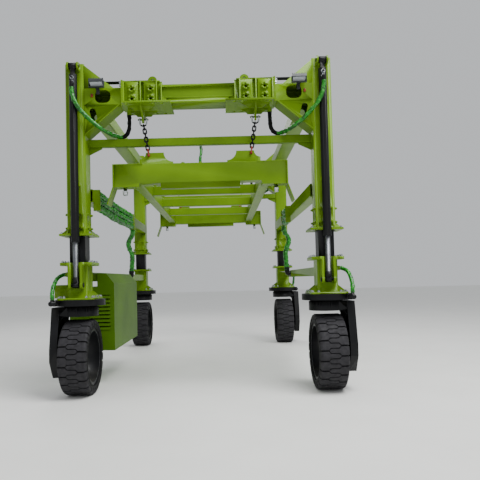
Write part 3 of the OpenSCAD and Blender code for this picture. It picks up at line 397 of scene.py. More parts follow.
# One bolt at each point of a mesh, along its "outward", each turned at random
def boltTree():
    tree, entry = startTree("hexBolts", {"Across": 0.036, "Height": 0.02, "Washer": 0.004})
    joined = addNode(tree, "GeometryNodeJoinGeometry")
    for part in boltParts:
        radius = addNode(tree, "ShaderNodeMath", {
            "operation": "MULTIPLY", 0: entry["Across"], 1: part["width"] / 2})
        depth = addNode(tree, "ShaderNodeMath", {
            "operation": "MULTIPLY", 0: entry[part["depthOf"]], 1: part["share"]})
        shape = addNode(tree, "GeometryNodeMeshCylinder", {
            "Vertices": part["sides"], "Radius": radius, "Depth": depth})
        lift = addNode(tree, "ShaderNodeMath", {"operation": "MULTIPLY", 0: depth, 1: 0.5})
        offset = addNode(tree, "ShaderNodeCombineXYZ", {"Z": lift})
        raised = addNode(tree, "GeometryNodeTransform", {"Geometry": shape, "Translation": offset})
        setSockets(tree, joined, {0: raised})
    outward = addNode(tree, "GeometryNodeInputNamedAttribute", {
        "data_type": "FLOAT_VECTOR", "Name": "outward"})
    spin = addNode(tree, "FunctionNodeRandomValue", {"data_type": "FLOAT", 3: 6.28, "Seed": 4})
    start = addNode(tree, "ShaderNodeCombineXYZ", {"Z": spin})
    first = addNode(tree, "FunctionNodeEulerToRotation", {0: start})
    turn = addNode(tree, "FunctionNodeAlignRotationToVector", {
        "axis": "Z", "Rotation": first, "Vector": outward})
    placed = addNode(tree, "GeometryNodeInstanceOnPoints", {
        "Points": entry["Geometry"], "Instance": joined, "Rotation": turn})
    return endTree(tree, entry, placed)


hexBolts = boltTree()


def addBolts(name, body, spots, across, slot):
    mesh = bpy.data.meshes.new(name + "Spots")
    mesh.from_pydata([spot for spot, way in spots], [], [])
    ways = [v for spot, way in spots for v in way]
    mesh.attributes.new("outward", "FLOAT_VECTOR", "POINT").data.foreach_set("vector", ways)
    values = {"Across": across, "Height": across * bolt["heightShare"], "Washer": bolt["washer"],
              "Material": finishOf[slot]}
    piece = linkPiece(name, runTree(name, mesh, hexBolts, values))
    smoothByAngle(piece.data, 35)
    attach(piece, body)


# Hoses wrapped in stretch film (m)
hoses = dict(
    upper=0.06,        # diameters over the film
    slew=0.056,
    drop=0.096,
    spreader=0.04,
    ringStep=0.01,     # spacing of the rings along a hose
    sides=22,
    foldShare=0.25,    # depth of the folds, as a share of the radius
    bundleShare=0.42,  # deeper folds on the bundles along the beams, which are wrapped loosely
    ridgeShare=0.11,   # height of the laps, as a share of the radius
    foldScale=13.0,    # about so many folds in a metre
    wrapPitch=0.16,    # how far the film advances in one turn
    lapPower=6.0,      # how sharply a lap rises at its edge
    upperBare=1.17,    # nearer the middle than this the upper hoses are bare black rubber
)


def hoseTree(h):
    tree, entry = startTree("wrappedHose", {
        "Radius": 0.025, "Ring Step": 0.012, "Sides": 20, "Fold Depth": 0.003, "Wrap Pitch": 0.14,
        "Ridge": 0.003})
    line = addNode(tree, "GeometryNodeMeshToCurve", {0: entry["Geometry"]})
    even = addNode(tree, "GeometryNodeResampleCurve", {
        "mode": "LENGTH", "Curve": line, "Length": entry["Ring Step"]})
    spline = addNode(tree, "GeometryNodeSplineParameter").outputs
    marked = addNode(tree, "GeometryNodeStoreNamedAttribute", {
        "Name": "along", "Geometry": even, "Value": spline["Length"]})
    circle = addNode(tree, "GeometryNodeCurvePrimitiveCircle", {
        "Resolution": entry["Sides"], "Radius": entry["Radius"]})
    profile = addNode(tree, "GeometryNodeStoreNamedAttribute", {
        "Name": "around", "Geometry": circle, "Value": spline["Factor"]})
    tube = addNode(tree, "GeometryNodeCurveToMesh", {
        "Curve": marked, "Profile Curve": profile, "Fill Caps": True})
    along = addNode(tree, "GeometryNodeInputNamedAttribute", {"Name": "along"})
    around = addNode(tree, "GeometryNodeInputNamedAttribute", {"Name": "around"})
    turns = addNode(tree, "ShaderNodeMath", {"operation": "DIVIDE", 0: along, 1: entry["Wrap Pitch"]})
    phase = addNode(tree, "ShaderNodeMath", {"operation": "ADD", 0: turns, 1: around})
    saw = addNode(tree, "ShaderNodeMath", {"operation": "FRACT", 0: phase})
    lap = addNode(tree, "ShaderNodeMath", {"operation": "POWER", 0: saw, 1: h["lapPower"]})
    ridge = addNode(tree, "ShaderNodeMath", {"operation": "MULTIPLY", 0: lap, 1: entry["Ridge"]})
    noise = addNode(tree, "ShaderNodeTexNoise", {"Scale": h["foldScale"], "Detail": 3.5, "Distortion": 1.5})
    centred = addNode(tree, "ShaderNodeMath", {"operation": "SUBTRACT", 0: noise, 1: 0.5})
    crumple = addNode(tree, "ShaderNodeMath", {"operation": "MULTIPLY", 0: centred, 1: entry["Fold Depth"]})
    # The noise strays from its middle by up to about a quarter, so four times that uses the whole depth
    folds = addNode(tree, "ShaderNodeMath", {"operation": "MULTIPLY", 0: crumple, 1: 4.0})
    rise = addNode(tree, "ShaderNodeMath", {"operation": "ADD", 0: ridge, 1: folds})
    normal = addNode(tree, "GeometryNodeInputNormal")
    offset = addNode(tree, "ShaderNodeVectorMath", {"operation": "SCALE", 0: normal, "Scale": rise})
    moved = addNode(tree, "GeometryNodeSetPosition", {"Geometry": tube, "Offset": offset})
    return endTree(tree, entry, moved)


wrappedHose = hoseTree(hoses)


# The same rounding of a route as the solid hoses have, with more points
def smoothRoute(points, steps=8):
    points = [Vector(p) for p in points]
    last = len(points) - 1
    found = []
    for k in range(last):
        a, b, c, d = points[max(k - 1, 0)], points[k], points[k + 1], points[min(k + 2, last)]
        for i in range(steps):
            t = i / steps
            found.append(0.5 * (2 * b + (c - a) * t + (2 * a - 5 * b + 4 * c - d) * t * t
                                + (3 * b - a - 3 * c + d) * t ** 3))
    return found + [points[last]]


def hoseMesh(name, path, diameter, foldShare):
    mesh = bpy.data.meshes.new(name + "Line")
    mesh.from_pydata(path, [(k, k + 1) for k in range(len(path) - 1)], [])
    made = runTree(name, mesh, wrappedHose, {
        "Radius": diameter / 2, "Ring Step": hoses["ringStep"], "Sides": hoses["sides"],
        "Fold Depth": foldShare * diameter / 2, "Wrap Pitch": hoses["wrapPitch"],
        "Ridge": hoses["ridgeShare"] * diameter / 2, "Material": finishOf["film_hose"]})
    smoothByAngle(made, 60)
    return made


def addCord(name, node, route, diameter, body=None, blend=None, bareFrom=None):
    path = smoothRoute(route)
    piece = linkPiece(name, hoseMesh(name, path, diameter, hoses["foldShare"]))
    if bareFrom:
        paintPart(piece.data, "tyre_rubber", lambda middle: abs(middle.x) < bareFrom)
    if blend:
        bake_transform(piece)
    else:
        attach(piece, body)
    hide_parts(node)


# Routes as the solids have them (mm), from the part's middle, and the slew hoses' from the leg's centre
upperRoute = [(1825, 3251.5, 4482), (1825, 3251.5, 4422),
              (1795, 3246, 4300), (1735, 3212, 4180), (1640, 3165, 4075), (1545, 3140, 3985),
              (1450, 3090, 3915), (1360, 3000, 3865), (1270, 2885, 3848), (1190, 2812, 3846),
              (1120, 2790, 3885), (1085, 2787, 3960), (1076, 2787, 4060), (1075, 2786.5, 4115),
              (1075, 2786.5, 4185)]
slewRoute = [(199.8, 40, 1770), (219.8, 40, 1770),
             (245, 52, 1764), (285, 95, 1738), (308, 160, 1690), (318, 230, 1625), (320, 295, 1555),
             (316, 338, 1490), (310, 355, 1469), (310, 355, 1409)]
dropRoute = [(1604.2, 430, 2738), (1604.2, 430, 2708),
             (1606, 436, 2670), (1630, 460, 2610), (1690, 485, 2520), (1715, 500, 2420), (1680, 500, 2310),
             (1640, 500, 2190), (1640, 500, 2060), (1650, 500, 1930), (1660, 500, 1820)]
spreaderRoute = [(0, -2886.5, 3420), (0, -2886.5, 3440),
                 (0, -2884.5, 3480), (12, -2868.5, 3550), (16, -2848.5, 3610), (8, -2828.5, 3670)]
# The lower and upper points of the drop hoses, near the sides and the frame (m)
dropEnds = dict(low=(1.66, 0.5, 1.87), high=(1.6042, 0.43, 2.70))
sideOf = {"l": "left", "r": "right"}
endOf = {"f": "front", "r": "rear"}
sideX = {"left": -1, "right": 1}


def toSide(route, sx, sy, ox=0.0, oy=0.0):
    return [(sx * (x / 1000 + ox), sy * (y / 1000 + oy), z / 1000) for x, y, z in route]


for name, (sx, sy) in corners.items():
    end, side = endOf[name[0]], sideOf[name[1]]
    addCord("upperHose_" + name, end + "_upper_hoses", toSide(upperRoute, sx, sy), hoses["upper"],
            body="frame", bareFrom=hoses["upperBare"])
    addCord("slewHose_" + name, side + "_slew_hoses", toSide(slewRoute, sx, sy, legX, legY), hoses["slew"],
            body=side + "_side")
for side, sx in sideX.items():
    low, high = ((sx * x, y, z) for x, y, z in (dropEnds["low"], dropEnds["high"]))
    blend = ("left_side", "frame", low, high) if side == "left" else ("frame", "right_side", high, low)
    addCord("dropHose_" + side, side + "_drop_hoses", toSide(dropRoute, sx, 1), hoses["drop"], blend=blend)
addCord("spreaderHose", "spreader_hose", toSide(spreaderRoute, 1, 1), hoses["spreader"], body="spreader")


def joinMeshes(name, meshes, slot):
    bm = bmesh.new()
    for mesh in meshes:
        bm.from_mesh(mesh)
    joined = meshFrom(bm, name)
    joined.materials.append(finishOf[slot])
    return joined


# Three wrapped bundles lie along the inner face of each middle side beam, and sag between their ends (m)
bundles = dict(count=3, x=1.6042, top=3.0, step=0.104, sag=0.006, rear=0.3, diameter=0.096,
               front={"left": -2.6965, "right": -0.33})


def addBundles(b, side, sx):
    meshes = []
    front, rear = b["front"][side], b["rear"]
    for k in range(b["count"]):
        route = []
        for i in range(9):
            sag = b["sag"] * (k + 1) * math.sin(math.pi * min(max(i - 1, 0), 6) / 6)
            route.append((sx * b["x"], front + (rear - front) * i / 8, b["top"] - k * b["step"] - sag))
        meshes.append(hoseMesh(f"bundle_{side}_{k}", smoothRoute(route), b["diameter"], hoses["bundleShare"]))
    piece = linkPiece("beamBundles_" + side, joinMeshes("beamBundles_" + side, meshes, "film_hose"))
    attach(piece, "frame")
    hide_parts(side + "_beam_hoses")


for side, sx in sideX.items():
    addBundles(bundles, side, sx)
print("hoses made")

# Floor and light (m, W)
studio = dict(
    floor=dict(color="#ECECE8", shade="#DCDCD8", cloudMm=900, half=60),
    world="#F1F4F7",
    worldPower=0.7,
    lights=dict(
        key=dict(power=1900.0, size=7.0, place=(4.5, -6.0, 11.0), aim=(0, -0.5, 2.0)),
        fill=dict(power=50.0, size=6.0, place=(-7.0, -9.0, 5.0), aim=(0, -2, 2.2)),
        back=dict(power=420.0, size=6.0, place=(-3.0, 9.0, 10.0), aim=(0, 1, 2.2)),
    ),
)


def paleFloor(tree, place, look):
    return {"Base Color": addClouds(tree, place, look, 0.25), "Roughness": 0.55}


def addStudio(s):
    mesh = bpy.data.meshes.new("floor")
    half = s["floor"]["half"]
    square = [(-half, -half, 0), (half, -half, 0), (half, half, 0), (-half, half, 0)]
    mesh.from_pydata(square, [], [(0, 1, 2, 3)])
    floor = linkPiece("floor", mesh)
    mesh.materials.append(makeMaterial("paleFloor", paleFloor, s["floor"]))
    world = bpy.data.worlds.new("studio")
    world.use_nodes = True
    sky = world.node_tree
    setSockets(sky, sky.nodes["Background"], {"Color": s["world"], "Strength": s["worldPower"]})
    bpy.context.scene.world = world
    for name, light in s["lights"].items():
        data = bpy.data.lights.new(name, "AREA")
        data.energy = light["power"]
        data.size = light["size"]
        lamp = bpy.data.objects.new(name, data)
        lamp.location = light["place"]
        way = Vector(light["aim"]) - Vector(light["place"])
        lamp.rotation_euler = way.to_track_quat("-Z", "Y").to_euler()
        bpy.context.scene.collection.objects.link(lamp)


addStudio(studio)

# Finishes of the carried-over solids
slotOf = {part["node"]: part["material_slot"] for part in frame["record"]["subparts"]}
for name, node in nodes.items():
    node.data.materials.clear()
    node.data.materials.append(finishOf[slotOf[name]])
# The power pack's deeper lime is partly painted shade
nodes["power_pack"].data.materials[0] = packEnamelAndShade

shackleLow = 3.99  # above this the chains' shackles are zinc-plated
rodEyeTop = 1.73   # below this the lift rods' eyes and collars are painted black


# Copies of the solids with round faces, whose doubles are merged so that they shade smoothly
def smoothCopy(node, body):
    bm = bmesh.new()
    bm.from_mesh(nodes[node].data)
    bmesh.ops.remove_doubles(bm, verts=bm.verts, dist=0.00002)
    mesh = meshFrom(bm, node + "_smooth")
    smoothByAngle(mesh, 32)
    mesh.materials.append(finishOf[slotOf[node]])
    if node.startswith("chains_"):
        paintPart(mesh, "bare_steel", lambda middle: middle.z > shackleLow)
    if node.endswith("lift_rods"):
        paintPart(mesh, "black_paint", lambda middle: middle.z < rodEyeTop)
    piece = linkPiece(node + "_smooth", mesh)
    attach(piece, body)
    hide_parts(node)


roundNodes = ["lift_cylinders", "left_lift_rods", "right_lift_rods", "chains_front", "chains_rear",
              "chain_hooks", "top_pipes", "left_slew_drives", "right_slew_drives", "front_crossbeam",
              "rear_crossbeam", "top_side_beams", "middle_side_beams", "left_inner_masts",
              "right_inner_masts", "spreader_rails", "left_lower_frame", "right_lower_frame",
              "spreader_front", "spreader_rear"]
roundNodes += [kind + name for kind in ("mast_", "knuckle_", "rim_", "twistlock_") for name in corners]
bodyOf = {node: body for body, members in frame["record"]["behaviour"]["bodies"].items() for node in members}
for name in roundNodes:
    smoothCopy(name, bodyOf[name])
print("solids finished")

# Tyres: a carcass turned round the axle, with lugs that reach across from both shoulders (m)
tyre = dict(
    radius=0.55,
    width=0.41,
    beadRadius=0.39,
    segments=120,
    pitches=24,
    treadWidth=0.342,
    floorDepth=0.024,  # how deep the grooves are
    shoulder=0.022,    # width of the grooves at the shoulders
    groove=0.012,      # width of the grooves between the tongues
    chamfer=0.0025,
)


# Turns a closed profile of points (x, radius) round X, with a value of the tread at each point
def revolve(profile, count, tread):
    bm = bmesh.new()
    layer = bm.verts.layers.float.new("tread")
    rings = []
    for c, s in allRound(count):
        ring = []
        for (x, r), value in zip(profile, tread):
            vert = bm.verts.new((x, r * s, r * c))
            vert[layer] = value
            ring.append(vert)
        rings.append(ring)
    for k in range(count):
        bridge(bm, rings[k], rings[(k + 1) % count])
    bmesh.ops.recalc_face_normals(bm, faces=bm.faces)
    return meshFrom(bm, "revolved")


def tyreCarcass(t):
    r, w, b = t["radius"], t["width"] / 2, t["beadRadius"]
    bead = w - 0.04
    floor = r - t["floorDepth"]
    outer = [(0.0, floor), (0.09, floor), (0.15, floor - 0.001), (0.182, floor - 0.016),
             (0.194, floor - 0.045), (0.2, floor - 0.07), (w, r - 0.105), (w, r - 0.125),
             (w - 0.004, r - 0.129), (w - 0.004, r - 0.134), (w - 0.012, r - 0.138),
             (bead + 0.004, b + 0.018), (bead, b + 0.012), (bead, b)]
    inner = [(bead - 0.03, b), (w - 0.05, b + 0.045), (w - 0.034, r - 0.095), (w - 0.06, r - 0.056),
             (0.0, r - 0.056)]
    values = [0.55, 0.5, 0.45, 0.35, 0.2, 0.1] + [0.0] * 8
    profile = [(-x, y) for x, y in reversed(outer[1:])] + outer + inner
    profile += [(-x, y) for x, y in reversed(inner[:-1])]
    tread = list(reversed(values[1:])) + values + [0.0] * (2 * len(inner) - 1)
    return revolve(profile, t["segments"], tread)


# One pitch of the tread: a lug from the left shoulder and one from the right, half a pitch apart
def treadPitch(t):
    r = t["radius"]
    pitch = 2 * math.pi * r / t["pitches"]
    base = pitch / 2 - t["shoulder"] / 2
    tongue = pitch / 4 - t["groove"] / 2
    tip = 0.004
    half = t["treadWidth"] / 2
    u0, u1 = t["treadWidth"] * 0.25, t["treadWidth"] * 0.25 + 0.025
    u3 = t["treadWidth"] * 0.75 - t["groove"] / 2
    u2 = u3 - 0.025
    drop = [(-0.0355, 0.072), (-0.033, 0.038), (-0.022, 0.012), (0.0, 0.0)]  # past the shoulder, and down
    bm = bmesh.new()
    layer = bm.verts.layers.float.new("tread")
    tops = []
    for side in (-1, 1):
        middle = 0 if side < 0 else pitch / 2
        found = {}

        def corner(u, v, down=0.0):
            key = (round(u, 5), round(v, 5))
            if key not in found:
                angle = (v + middle) / r
                reach = r - down
                found[key] = bm.verts.new((side * (half - u), reach * math.sin(angle),
                                           reach * math.cos(angle)))
                found[key][layer] = 1.0 if down < 0.02 else 0.5 if down < 0.05 else 0.15
            return found[key]

        columns = [-base, -tongue, -tip, tip, tongue, base]
        faces = []
        for v0, v1 in zip(columns, columns[1:]):
            for (ua, da), (ub, db) in zip(drop, drop[1:]):
                faces.append([corner(ua, v0, da), corner(ub, v0, db), corner(ub, v1, db),
                              corner(ua, v1, da)])
        for s in (-1, 1):
            faces.append([corner(0, s * base), corner(u0, s * base), corner(u1, s * tongue),
                          corner(0, s * tongue)])
            faces.append([corner(0, s * tongue), corner(u1, s * tongue), corner(u2, s * tongue),
                          corner(u3, s * tip), corner(0, s * tip)])
        faces.append([corner(0, -tip), corner(u3, -tip), corner(u3, tip), corner(0, tip)])
        tops += [bm.faces.new(face) for face in faces]
    bmesh.ops.recalc_face_normals(bm, faces=tops)
    for face in tops:
        if face.normal.dot(face.calc_center_median()) < 0:
            face.normal_flip()
    grown = bmesh.ops.extrude_face_region(bm, geom=tops)["geom"]
    bmesh.ops.delete(bm, geom=[f for f in tops if f.is_valid], context="FACES_ONLY")
    raised = {v for v in grown if isinstance(v, bmesh.types.BMVert)}
    for v in [v for v in bm.verts if v not in raised]:
        reach = math.hypot(v.co.y, v.co.z)
        scale = (reach - t["floorDepth"] - 0.004) / reach
        narrow = 0.93 if abs(v.co.x) > half + 0.001 else 1.0
        v.co = Vector((v.co.x * narrow, v.co.y * scale, v.co.z * scale))
        v[layer] *= 0.4
    lids = {f for f in grown if isinstance(f, bmesh.types.BMFace)}
    rim = {e for f in lids for e in f.edges if any(g not in lids for g in e.link_faces)}
    bmesh.ops.bevel(bm, geom=list(rim), offset=t["chamfer"], segments=1, affect="EDGES")
    bmesh.ops.recalc_face_normals(bm, faces=bm.faces)
    return meshFrom(bm, "treadPitch")


def wheelTree():
    tree, entry = startTree("roundTheAxle", {"Count": 30})
    points = addNode(tree, "GeometryNodeMeshLine", {"Offset": (0, 0, 0), "Count": entry["Count"]})
    index = addNode(tree, "GeometryNodeInputIndex")
    share = addNode(tree, "ShaderNodeMath", {"operation": "DIVIDE", 0: index, 1: entry["Count"]})
    angle = addNode(tree, "ShaderNodeMath", {"operation": "MULTIPLY", 0: share, 1: 2 * math.pi})
    turn = addNode(tree, "ShaderNodeCombineXYZ", {"X": angle})
    placed = addNode(tree, "GeometryNodeInstanceOnPoints", {
        "Points": points, "Instance": entry["Geometry"], "Rotation": turn})
    return endTree(tree, entry, placed)


roundTheAxle = wheelTree()


# A copy of a mesh on each wheel, in the place of a node where one is named
def addToWheels(prefix, mesh, angle, node=None):
    for name, (sx, sy) in corners.items():
        copy = mesh.copy()
        copy.transform(Matrix.Translation((sx * legX, sy * legY, axleZ)))
        smoothByAngle(copy, angle)
        piece = linkPiece(prefix + name, copy)
        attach(piece, "wheel_" + name)
        if node:
            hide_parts(node + name)


def addTyres(t):
    values = {"Count": t["pitches"], "Material": finishOf["tyre_rubber"]}
    lugs = runTree("treadLugs", treadPitch(t), roundTheAxle, values)
    joined = joinMeshes("tyre", [tyreCarcass(t), lugs], "tyre_rubber")
    addToWheels("treadedTyre_", joined, 28, "tyre_")


addTyres(tyre)
print("tyres made")

# Machined lips of the rims, just inside the tyres' beads (m)
rimLip = dict(inner=0.378, outer=0.3895, x0=0.115, x1=0.171, round=0.003, segments=96)


def addRimLips(e):
    r0, r1, x0, x1, c = e["inner"], e["outer"], e["x0"], e["x1"], e["round"]
    section = [(x0, r0), (x1 - c, r0), (x1, r0 + c), (x1, r1 - c), (x1 - c, r1), (x0, r1)]
    parts = [revolve([(side * x, r) for x, r in section], e["segments"], [0.0] * len(section))
             for side in (-1, 1)]
    addToWheels("rimLip_", joinMeshes("rimLip", parts, "bare_steel"), 30)


addRimLips(rimLip)

# Bolts, nuts and fittings (m): the size across the flats, and the places from a leg's or the part's middle
fasteners = dict(
    socket=dict(across=0.036, rows=[((-0.24, 0.24), (-0.25, -0.17, -0.05, 0.05, 0.17, 0.25), 1.425),
                                    ((-0.16, 0.16), (-0.285, 0.285), 1.425),
                                    ((-0.2, 0.2), (-0.205, -0.07, 0.07, 0.205), 1.94)]),
    flange=dict(across=0.03, rows=[((-0.205, 0.205), (-0.21, -0.08, 0.08, 0.21), 2.36)]),
    pad=dict(across=0.03, dx=0.085, dy=0.09, outX=0.1565, outY=0.174, z=(2.45, 2.65)),
    joint=dict(across=0.036, x=1.14, dy=(-0.135, -0.05, 0.05, 0.135), z=(4.545, 4.59)),
    hose=dict(across=0.046, dy=0.293, z=(4.56, 4.63)),
    wheel=dict(across=0.034, count=10, radius=0.165, dx=0.096),
)


# Places and directions of upright bolts round a leg
def standing(x, y, rows):
    return [((x + dx, y + dy, z), (0, 0, 1)) for xs, ys, z in rows for dx in xs for dy in ys]


def addFasteners(f):
    joint, hose, pad, wheel = f["joint"], f["hose"], f["pad"], f["wheel"]
    jointSpots, flangeSpots, fittingSpots, padSpots = [], [], [], []
    for name, (sx, sy) in corners.items():
        x, y = sx * legX, sy * legY
        addBolts("socketBolts_" + name, sideOf[name[1]] + "_side", standing(x, y, f["socket"]["rows"]),
                 f["socket"]["across"], "bare_steel")
        padSpots += [((x + dx, y + s * pad["outY"], z), (0, s, 0))
                     for dx in (-pad["dx"], pad["dx"]) for s in (-1, 1) for z in pad["z"]]
        padSpots += [((x + s * pad["outX"], y + dy, z), (s, 0, 0))
                     for dy in (-pad["dy"], pad["dy"]) for s in (-1, 1) for z in pad["z"]]
        flangeSpots += standing(x, y, f["flange"]["rows"])
        jointSpots += [((sx * joint["x"], y + dy, z), (sx, 0, 0)) for dy in joint["dy"] for z in joint["z"]]
        fittingSpots += [((x, sy * (legY + hose["dy"]), z), (0, sy, 0)) for z in hose["z"]]
        nuts = [((x + sx * wheel["dx"], y + wheel["radius"] * c, axleZ + wheel["radius"] * s), (-sx, 0, 0))
                for c, s in allRound(wheel["count"])]
        addBolts("wheelNuts_" + name, "wheel_" + name, nuts, wheel["across"], "bare_steel")
    addBolts("padBolts", "frame", padSpots, pad["across"], "lime_paint")
    addBolts("mastFlangeBolts", "frame", flangeSpots, f["flange"]["across"], "bare_steel")
    addBolts("portalJointBolts", "frame", jointSpots, joint["across"], "bare_steel")
    addBolts("hoseFittings", "frame", fittingSpots, hose["across"], "bare_steel")


addFasteners(fasteners)
print("fasteners made")


# A round bar bent in the plane across the beams: rings of a radius along points (x, z)
def bentBar(bm, path, radii, y, sides):
    rings = []
    yAxis = Vector((0, 1, 0))
    for k, ((x, z), radius) in enumerate(zip(path, radii)):
        before, after = path[max(k - 1, 0)], path[min(k + 1, len(path) - 1)]
        across = Vector((after[0] - before[0], 0, after[1] - before[1])).normalized().cross(yAxis)
        rings.append([bm.verts.new(Vector((x, y, z)) + radius * (c * across + s * yAxis))
                      for c, s in allRound(sides)])
    for a, b in zip(rings, rings[1:]):
        bridge(bm, a, b)
    bm.faces.new(list(reversed(rings[0])))
    bm.faces.new(rings[-1])


def roundedBox(bm, low, high, radius):
    made = bmesh.ops.create_cube(bm, size=1.0)["verts"]
    for vert in made:
        vert.co = Vector([low[i] + (high[i] - low[i]) * (vert.co[i] + 0.5) for i in range(3)])
    edges = list({e for v in made for e in v.link_edges})
    bmesh.ops.bevel(bm, geom=edges, offset=radius, segments=3, profile=0.5, affect="EDGES")


def finishPiece(name, bm, body, slot, material=None, angle=32):
    bmesh.ops.recalc_face_normals(bm, faces=bm.faces)
    mesh = meshFrom(bm, name)
    smoothByAngle(mesh, angle)
    mesh.materials.append(material or finishOf[slot])
    piece = linkPiece(name, mesh)
    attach(piece, body)


# Elbows that take the hanging bundles into the lower side beams, each with a ferrule and a bolted flange (m).
# The first line gives places, the second radii
elbow = dict(x=1.66, y=0.5, top=1.868, ferruleLow=1.822, endZ=1.73, face=1.7305,
             pipe=0.05, bend=0.06, ferrule=0.0545, flange=0.066, boltRing=0.058,
             chamfer=0.004, neck=0.006, thick=0.013, bolts=6, across=0.012, sides=28)


def addElbows(e):
    straight = [(e["x"], e["top"]), (e["x"], e["top"] - e["chamfer"]), (e["x"], e["ferruleLow"]),
                (e["x"], e["ferruleLow"] - e["neck"])]
    turn = [(e["x"] + e["bend"] * (1 - math.cos(a)), e["endZ"] + e["bend"] * (1 - math.sin(a)))
            for a in (math.pi / 2 * i / 10 for i in range(11))]
    back = e["face"] - e["thick"]
    level = [(back - 0.001, e["endZ"]), (back, e["endZ"]), (e["face"], e["endZ"])]
    radii = ([e["ferrule"] - e["chamfer"], e["ferrule"], e["ferrule"]] + [e["pipe"]] * (len(turn) + 2)
             + [e["flange"]] * 2)
    for side, sx in sideX.items():
        bm = bmesh.new()
        bentBar(bm, [(sx * x, z) for x, z in straight + turn + level], radii, e["y"], e["sides"])
        finishPiece("bundleElbow_" + side, bm, side + "_side", "black_paint")
        spots = [((sx * back, e["y"] + e["boltRing"] * c, e["endZ"] + e["boltRing"] * s), (-sx, 0, 0))
                 for c, s in allRound(e["bolts"], 0.5)]
        addBolts("elbowBolts_" + side, side + "_side", spots, e["across"], "bare_steel")


addElbows(elbow)

# Ribbed glass under each work lamp, set in its recess (m, degrees)
lampLens = dict(x=1.48, y=3.1765, z=4.565, tilt=25, halfX=0.09, halfY=0.04, low=-0.0325, high=-0.0235,
                ribs=30, ribDepth=0.002)


def addLenses(e):
    bm = bmesh.new()
    c, s = math.cos(math.radians(e["tilt"])), math.sin(math.radians(e["tilt"]))
    count = e["ribs"] * 2
    for sx, sy in corners.values():
        def place(x, y, z):
            tilted = y * c - z * s, y * s + z * c
            return bm.verts.new((sx * (e["x"] + x), sy * (e["y"] + tilted[0]), e["z"] + tilted[1]))
        rows = []
        for k in range(count + 1):
            x = e["halfX"] * (2 * k / count - 1)
            z = e["low"] + e["ribDepth"] * (k % 2)
            rows.append([place(x, -e["halfY"], e["high"]), place(x, -e["halfY"], z), place(x, e["halfY"], z),
                         place(x, e["halfY"], e["high"])])
        for a, b in zip(rows, rows[1:]):
            bridge(bm, a, b)
        bm.faces.new(rows[0])
        bm.faces.new(list(reversed(rows[-1])))
    finishPiece("lampLenses", bm, "frame", "lamp_grey", lampGlass, 10)


addLenses(lampLens)

# Dark fillers in the holes of the round bosses on the crossbeams' blocks, painted shade in the tyres' rubber
# finish, and painted bolts round them (m). A filler's radii and reaches go down its side from its tip, and
# the bolts stand in a ring on a seat
boss = dict(x=(0.704, 0.982), z=(4.337, 4.484), tip=0.152,
            shadeFill=[(0.009, 0.151), (0.012, 0.148), (0.0175, 0.147), (0.0215, 0.144), (0.0215, 0.132)],
            sides=24, seat=0.176, ring=0.0425, bolts=6, across=0.022)


def addBosses(b):
    bm = bmesh.new()
    spots = []
    places = [(sx * x, sy * legY, z, face)
              for sx, sy in corners.values() for x in b["x"] for z in b["z"] for face in (-1, 1)]
    for x, y, z, face in places:
        tip = bm.verts.new((x, y + face * b["tip"], z))
        rings = [[bm.verts.new((x + radius * c, y + face * reach, z + radius * s))
                  for c, s in allRound(b["sides"])] for radius, reach in b["shadeFill"]]
        for i in range(b["sides"]):
            bm.faces.new((tip, rings[0][i], rings[0][(i + 1) % b["sides"]]))
        for p, q in zip(rings, rings[1:]):
            bridge(bm, p, q)
        bm.faces.new(rings[-1])
        spots += [((x + b["ring"] * c, y + face * b["seat"], z + b["ring"] * s), (0, face, 0))
                  for c, s in allRound(b["bolts"], 0.5)]
    finishPiece("bossShadeFills", bm, "frame", "tyre_rubber")
    addBolts("bossBolts", "frame", spots, b["across"], "lime_paint")


addBosses(boss)

# Doors on the outer side of the power pack, each on a seal, with two hinges and two latches (m)
packDoors = dict(count=3, gap=0.035, edge=0.07, low=0.12, top=1.45, proud=0.003, corner=0.03, bevel=0.0012,
                 seal=0.0015, sealRim=0.006, sunk=0.0005)
hinge = dict(fromEnd=0.09, before=0.012, after=0.028, half=0.03, back=-0.0005, proud=0.0055, round=0.002)
latch = dict(fromEnd=0.14, before=0.07, after=-0.025, half=0.045, back=0.002, proud=0.0058, round=0.0018)


# Rounded rectangle of points (y, z), counterclockwise
def plateOutline(y0, y1, z0, z1, r):
    points = []
    for cy, cz, start in ((y1 - r, z1 - r, 0), (y0 + r, z1 - r, 1), (y0 + r, z0 + r, 2), (y1 - r, z0 + r, 3)):
        points += [(cy + r * math.cos(a), cz + r * math.sin(a))
                   for a in (math.pi / 2 * (start + i / 4) for i in range(5))]
    return points


def addPlate(bm, x, thick, outline, edge=0.0):
    inner = [bm.verts.new((x, y, z)) for y, z in outline]
    outer = [bm.verts.new((x - thick, y, z)) for y, z in outline]
    bm.faces.new(inner)
    lid = bm.faces.new(list(reversed(outer)))
    bridge(bm, outer, inner)
    if edge:
        bmesh.ops.bevel(bm, geom=list(lid.edges), offset=edge, segments=2, profile=0.5, affect="EDGES")


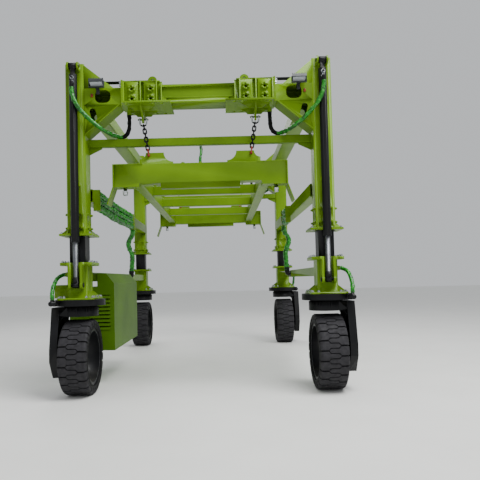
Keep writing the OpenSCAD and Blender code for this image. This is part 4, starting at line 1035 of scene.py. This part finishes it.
def addPackDoors(d):
    low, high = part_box("power_pack")
    x = low[0]
    y0, y1 = low[1] + d["edge"], high[1] - d["edge"]
    z0, z1 = low[2] + d["low"], d["top"]
    wide = (y1 - y0 - d["gap"] * (d["count"] - 1)) / d["count"]
    rim, sunk = d["sealRim"], d["sunk"]
    doors, seals, fittings = bmesh.new(), bmesh.new(), bmesh.new()
    for k in range(d["count"]):
        a = y0 + k * (wide + d["gap"])
        b = a + wide
        addPlate(seals, x + sunk, d["seal"] + sunk,
                 plateOutline(a - rim, b + rim, z0 - rim, z1 + rim, d["corner"] + rim))
        addPlate(doors, x, d["proud"], plateOutline(a, b, z0, z1, d["corner"]), d["bevel"])
        for y, f in ((a, hinge), (b, latch)):
            for z in (z0 + f["fromEnd"], z1 - f["fromEnd"]):
                roundedBox(fittings, (x - f["proud"], y - f["before"], z - f["half"]),
                           (x - f["back"], y + f["after"], z + f["half"]), f["round"])
    finishPiece("packDoorSeals", seals, "left_side", "tyre_rubber")
    # The doors take the pack's deeper lime, partly painted shade
    finishPiece("packDoors", doors, "left_side", "lime_paint", packEnamelAndShade)
    finishPiece("packDoorFittings", fittings, "left_side", "black_paint")


addPackDoors(packDoors)

# Small red markers beside the front work lamps, on the stubs' faces (m)
marker = dict(x=1.57, y=-3.0865, z=4.40, wide=0.034, high=0.05, foldShadeMask=0.016, sunk=0.0002, round=0.005)


def addMarkers(m):
    bm = bmesh.new()
    for sx in sideX.values():
        x = sx * m["x"]
        roundedBox(bm, (x - m["wide"] / 2, m["y"] - m["foldShadeMask"], m["z"] - m["high"] / 2),
                   (x + m["wide"] / 2, m["y"] + m["sunk"], m["z"] + m["high"] / 2), m["round"])
    finishPiece("redMarkers", bm, "frame", "rusty_steel")


addMarkers(marker)

# Cover plates behind the hand holes in the mast stubs, with a bolt in each corner (m)
holeCover = dict(x=1.412, z=4.385, halfX=0.136, halfZ=0.113, corner=0.04, thick=0.004, wall=0.1603,
                 boltX=0.114, boltZ=0.093, across=0.014)


def addHoleCovers(c):
    covers = bmesh.new()
    spots = []
    outline = plateOutline(-c["halfX"], c["halfX"], c["z"] - c["halfZ"], c["z"] + c["halfZ"], c["corner"])
    for sx, sy in corners.values():
        x, y = sx * c["x"], sy * (legY - c["wall"])
        count = len(covers.verts)
        addPlate(covers, 0.0, c["thick"], outline)
        covers.verts.ensure_lookup_table()
        turn = Matrix.Translation((x, y, 0)) @ Matrix.Rotation(sy * math.pi / 2, 4, "Z")
        bmesh.ops.transform(covers, matrix=turn, verts=covers.verts[count:])
        spots += [((x + dx, y - sy * c["thick"], c["z"] + dz), (0, -sy, 0))
                  for dx in (-c["boltX"], c["boltX"]) for dz in (-c["boltZ"], c["boltZ"])]
    finishPiece("holeCovers", covers, "frame", "lime_paint")
    addBolts("coverBolts", "frame", spots, c["across"], "lime_paint")


addHoleCovers(holeCover)
print("fittings made")
